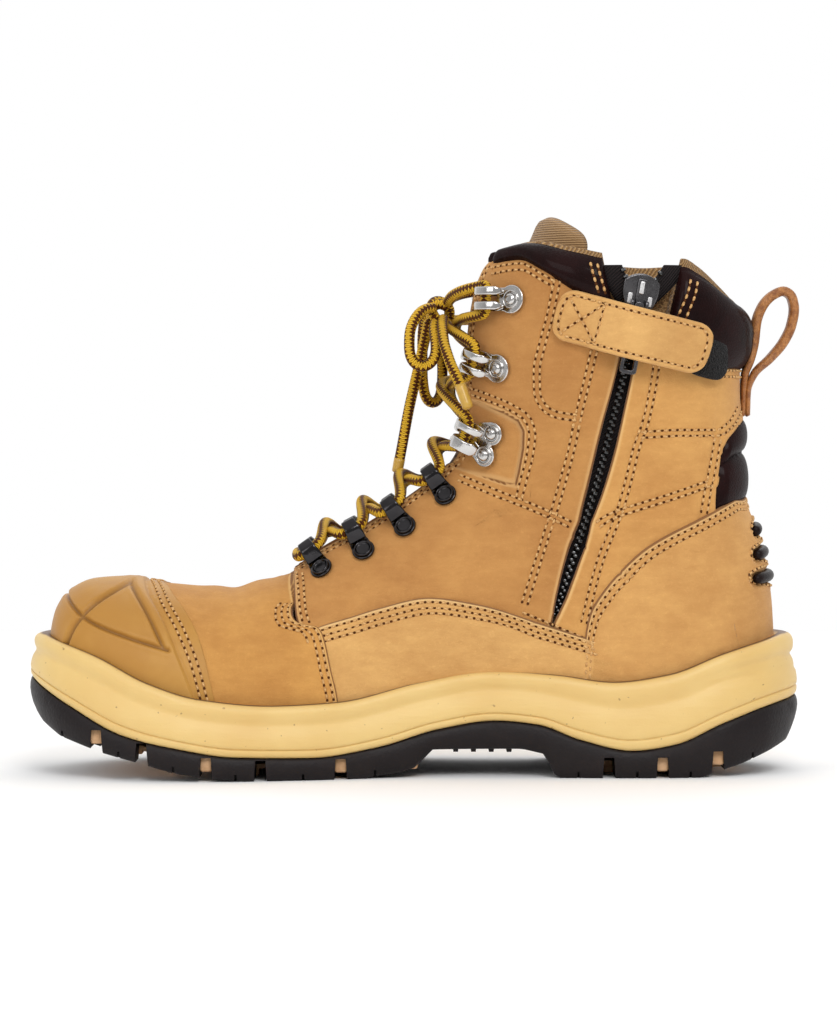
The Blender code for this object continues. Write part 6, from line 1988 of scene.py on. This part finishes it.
def lace_tube(name, path):
    """A braided tube along a path. Its UV map has one turn across and millimetres along."""
    steps = run_of(path)
    ahead = unit(np.gradient(path, axis=0))
    normals = np.zeros_like(path)
    normals[0] = np.cross(ahead[0], (0.31, 0.2, 0.93))
    for i in range(1, len(path)):
        normals[i] = unit(normals[i - 1] - ahead[i] * (normals[i - 1] @ ahead[i]))
    normals[0] /= np.linalg.norm(normals[0])
    from_end = np.minimum(steps, steps[-1] - steps)
    taper = np.sqrt(1 - np.clip(1 - from_end / LACE_TAPER, 0, 0.999) ** 2)
    piece = new_grid(name, tube_grid(path, normals, LACE_RADIUS * taper, LACE_SIDES))
    uv = piece.data.uv_layers[0].data
    values = np.zeros(len(uv) * 2)
    uv.foreach_get("uv", values)
    values[1::2] *= steps[-1]
    uv.foreach_set("uv", values)
    close_up(piece)
    dress(piece, lace_braid, "lace")
    return piece


lace_braid, at, surface = material("lace_braid", Roughness=0.5, Specular_IOR_Level=0.15)
coords = at.node("ShaderNodeUVMap", {})
around = coords.node("ShaderNodeSeparateXYZ", {"Vector": coords})
along = coords.node("ShaderNodeSeparateXYZ", {"Vector": coords}, out=1)


def repeated(value, width):
    """0 to 1 and back over each width."""
    return value.node("ShaderNodeMath", {0: value, 1: width}, operation="PINGPONG") * (1 / width)


teeth = repeated(along, 0.75)
bands = repeated(around * 3.0 + along * 0.012, 0.5)
brown = (bands + teeth * 0.6).between(0.82, 0.92)
rib = repeated(along + bands * 0.5, 0.42)
gold = rib.mixed(rgb(0.60, 0.29, 0.010), rgb(1.0, 0.64, 0.060))
dark = rib.mixed(rgb(0.045, 0.011, 0.003), rgb(0.15, 0.045, 0.009))
feed(surface, Base_Color=brown.mixed(gold, dark), Normal=bump(rib + 0.4 * bands, 0.0008, 0.8))

lower = strand(MEDIAL)
upper = strand(LATERAL)
bar_ends = (carried("eyelet_1", side, -REACH["eyelet"]) for side in (LATERAL, MEDIAL))
bar = crossing(*bar_ends, 0.0)
lacing = lace_tube("lacing", even_curve(upper[::-1] + bar + lower, 1.6))
crossings = [f"lace_cross_{number}" for number in range(1, 7)]
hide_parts("lace_bar", *crossings, "lace_tie_medial", "lace_tie_lateral")

KNOT_WRAP = ((-12, 5.4, 178.2), (-7.6, 5, 181.8), (-6.2, 3, 185.8), (-8.6, 0.2, 188.4),
             (-12, -1.8, 187.6), (-14.2, -3.6, 184.2), (-13, -4.6, 180.4), (-9.4, -4.4, 179.4),
             (-6.4, -2.2, 181.8), (-6.6, 0.6, 185.2), (-10, 3.8, 187.2), (-14, 4.4, 185.2))
knot = lace_tube("knot", even_curve(KNOT_WRAP, 1.2))
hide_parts("lace_knot")

CORD_ROUTES = {
    "loop_medial": (
        (-8.4, 5.4, 185.2), (-4.6, 8.6, 185), (-0.4, 11.8, 181.4), (2.2, 14.5, 174.5), (2.3, 16.2, 168),
        (0.8, 17.2, 163.4), (-2.9, 17.6, 161.2), (-6.7, 17.2, 163.2), (-8.4, 15.8, 167.6),
        (-8.2, 12.6, 172.4), (-7.6, 8.6, 176.8), (-8.6, 5, 180),
    ),
    "loop_lateral": (
        (-7.2, -3.4, 185.2), (-3.8, -8.4, 181), (-3, -11.6, 171.6), (-3, -12.6, 160),
        (-3.6, -12.8, 152.4), (-4.8, -13.8, 148.6), (-7.2, -15.6, 146.9), (-9.6, -17.4, 148.6),
        (-10.8, -18.2, 152.6), (-11.2, -17, 160.4), (-10.4, -12, 170), (-9.8, -5.6, 177),
    ),
    "end_medial": (
        (-11.6, 6.6, 181.4), (-10.9, 12.4, 178.4), (-11.3, 19.5, 172.4), (-13.6, 26.5, 163.8),
        (-17.3, 31, 155.2), (-20.8, 33.6, 145.4),
    ),
    "end_lateral": (
        (-6, 1, 181.4), (-3.6, -0.4, 171), (-0.6, -2, 158), (2.4, -3, 145), (5, -4, 131),
        (7.2, -5, 119.5),
    ),
}
AGLET_LENGTH = {"end_medial": 10, "end_lateral": 6.5}
aglet_plastic, at, surface = material("aglet", Specular_IOR_Level=0.55)
feed(surface, Base_Color=at.noise(500.0).mixed(rgb(0.42, 0.23, 0.03), rgb(0.62, 0.38, 0.06)),
     Roughness=0.25 + 0.1 * at.noise(900.0))
for name, route in CORD_ROUTES.items():
    path = even_curve(route, 1.3)
    piece = lace_tube("lace_" + name + "_braid", path)
    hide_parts("lace_" + name)
    length = float(np.linalg.norm(np.diff(path, axis=0), axis=1).sum()) * MM
    facts = {"exit": tuple(path[0] * MM), "length": length, "diameter": 2 * LACE_RADIUS * MM,
             "stiffness": "limp", "path": [tuple(p) for p in path * MM]}
    if name.startswith("loop"):
        continue
    steps = run_of(path)
    tip = path[steps > steps[-1] - AGLET_LENGTH[name]]
    ahead = unit(tip[-1] - tip[-2])
    shell = np.concatenate([tip[:1] - ahead * 0.05, tip, [tip[-1] + ahead * 0.5, tip[-1] + ahead * 0.9]])
    sleeve = np.linspace(LACE_RADIUS + 0.14, LACE_RADIUS + 0.06, len(tip))
    thick = np.concatenate([[0.02], sleeve, [1.6, 0.02]])
    upright = np.tile((0.0, 1.0, 0.3), (len(shell), 1))
    aglet = closed_grid("aglet_" + name, tube_grid(shell, upright, thick, 14))
    dress(aglet, aglet_plastic, "lace")


# Stage
# A plain pale floor and soft studio light from three sides. The camera is at the photograph's angle,
# square to the inner side of the boot.

bpy.ops.mesh.primitive_plane_add(size=1.8, location=(0, 0, 0))
floor = bpy.context.object
floor.name = "floor"
floor_finish = material("floor", Roughness=0.9, Specular_IOR_Level=0.1, Base_Color=rgb(0.97, 0.97, 0.97))[0]
floor.data.materials.append(floor_finish)

camera_data = bpy.data.cameras.new("camera")
camera_data.lens = 122.1
camera_data.sensor_width = 36.0
camera_data.shift_x, camera_data.shift_y = 0.0034, -0.0891
camera_data.clip_start = 0.01
camera = bpy.data.objects.new("camera", camera_data)
camera.location = (0.0, 1.4, 0.14)
camera.rotation_euler = (math.radians(90), 0.0, math.radians(180))
bpy.context.scene.collection.objects.link(camera)
bpy.context.scene.camera = camera

world = bpy.data.worlds.new("studio")
world.use_nodes = True
studio = world.node_tree
toward = Shade(studio, studio.nodes.new("ShaderNodeTexCoord").outputs["Generated"])
behind = toward.node("ShaderNodeSeparateXYZ", {"Vector": toward}, out=1).between(0.45, -0.35)
overhead = toward.node("ShaderNodeSeparateXYZ", {"Vector": toward}, out=2).between(0.3, 0.9)
studio_white = behind.mixed(overhead.mixed(rgb(0.42, 0.42, 0.42), rgb(0.8, 0.8, 0.8)), rgb(1.0, 1.0, 1.0))
studio.links.new(studio_white.socket, studio.nodes["Background"].inputs["Color"])
studio.nodes["Background"].inputs["Strength"].default_value = 1.0
bpy.context.scene.world = world
LIGHTS = (
    # name, place in metres, size, watts
    ("key", (-0.3, 1.5, 1.2), 0.8, 14),
    ("fill", (0.9, 1.2, 0.7), 0.7, 4),
    ("back", (-0.3, -1.2, 1.2), 1, 4),
)
for name, place, size, watts in LIGHTS:
    light_data = bpy.data.lights.new(name, "AREA")
    light_data.size = size
    light_data.energy = watts
    light = bpy.data.objects.new(name, light_data)
    light.location = place
    light.rotation_euler = (Vector((0, 0, 0.1)) - Vector(place)).to_track_quat("-Z", "Y").to_euler()
    bpy.context.scene.collection.objects.link(light)
bpy.context.scene.view_settings.view_transform = "Standard"
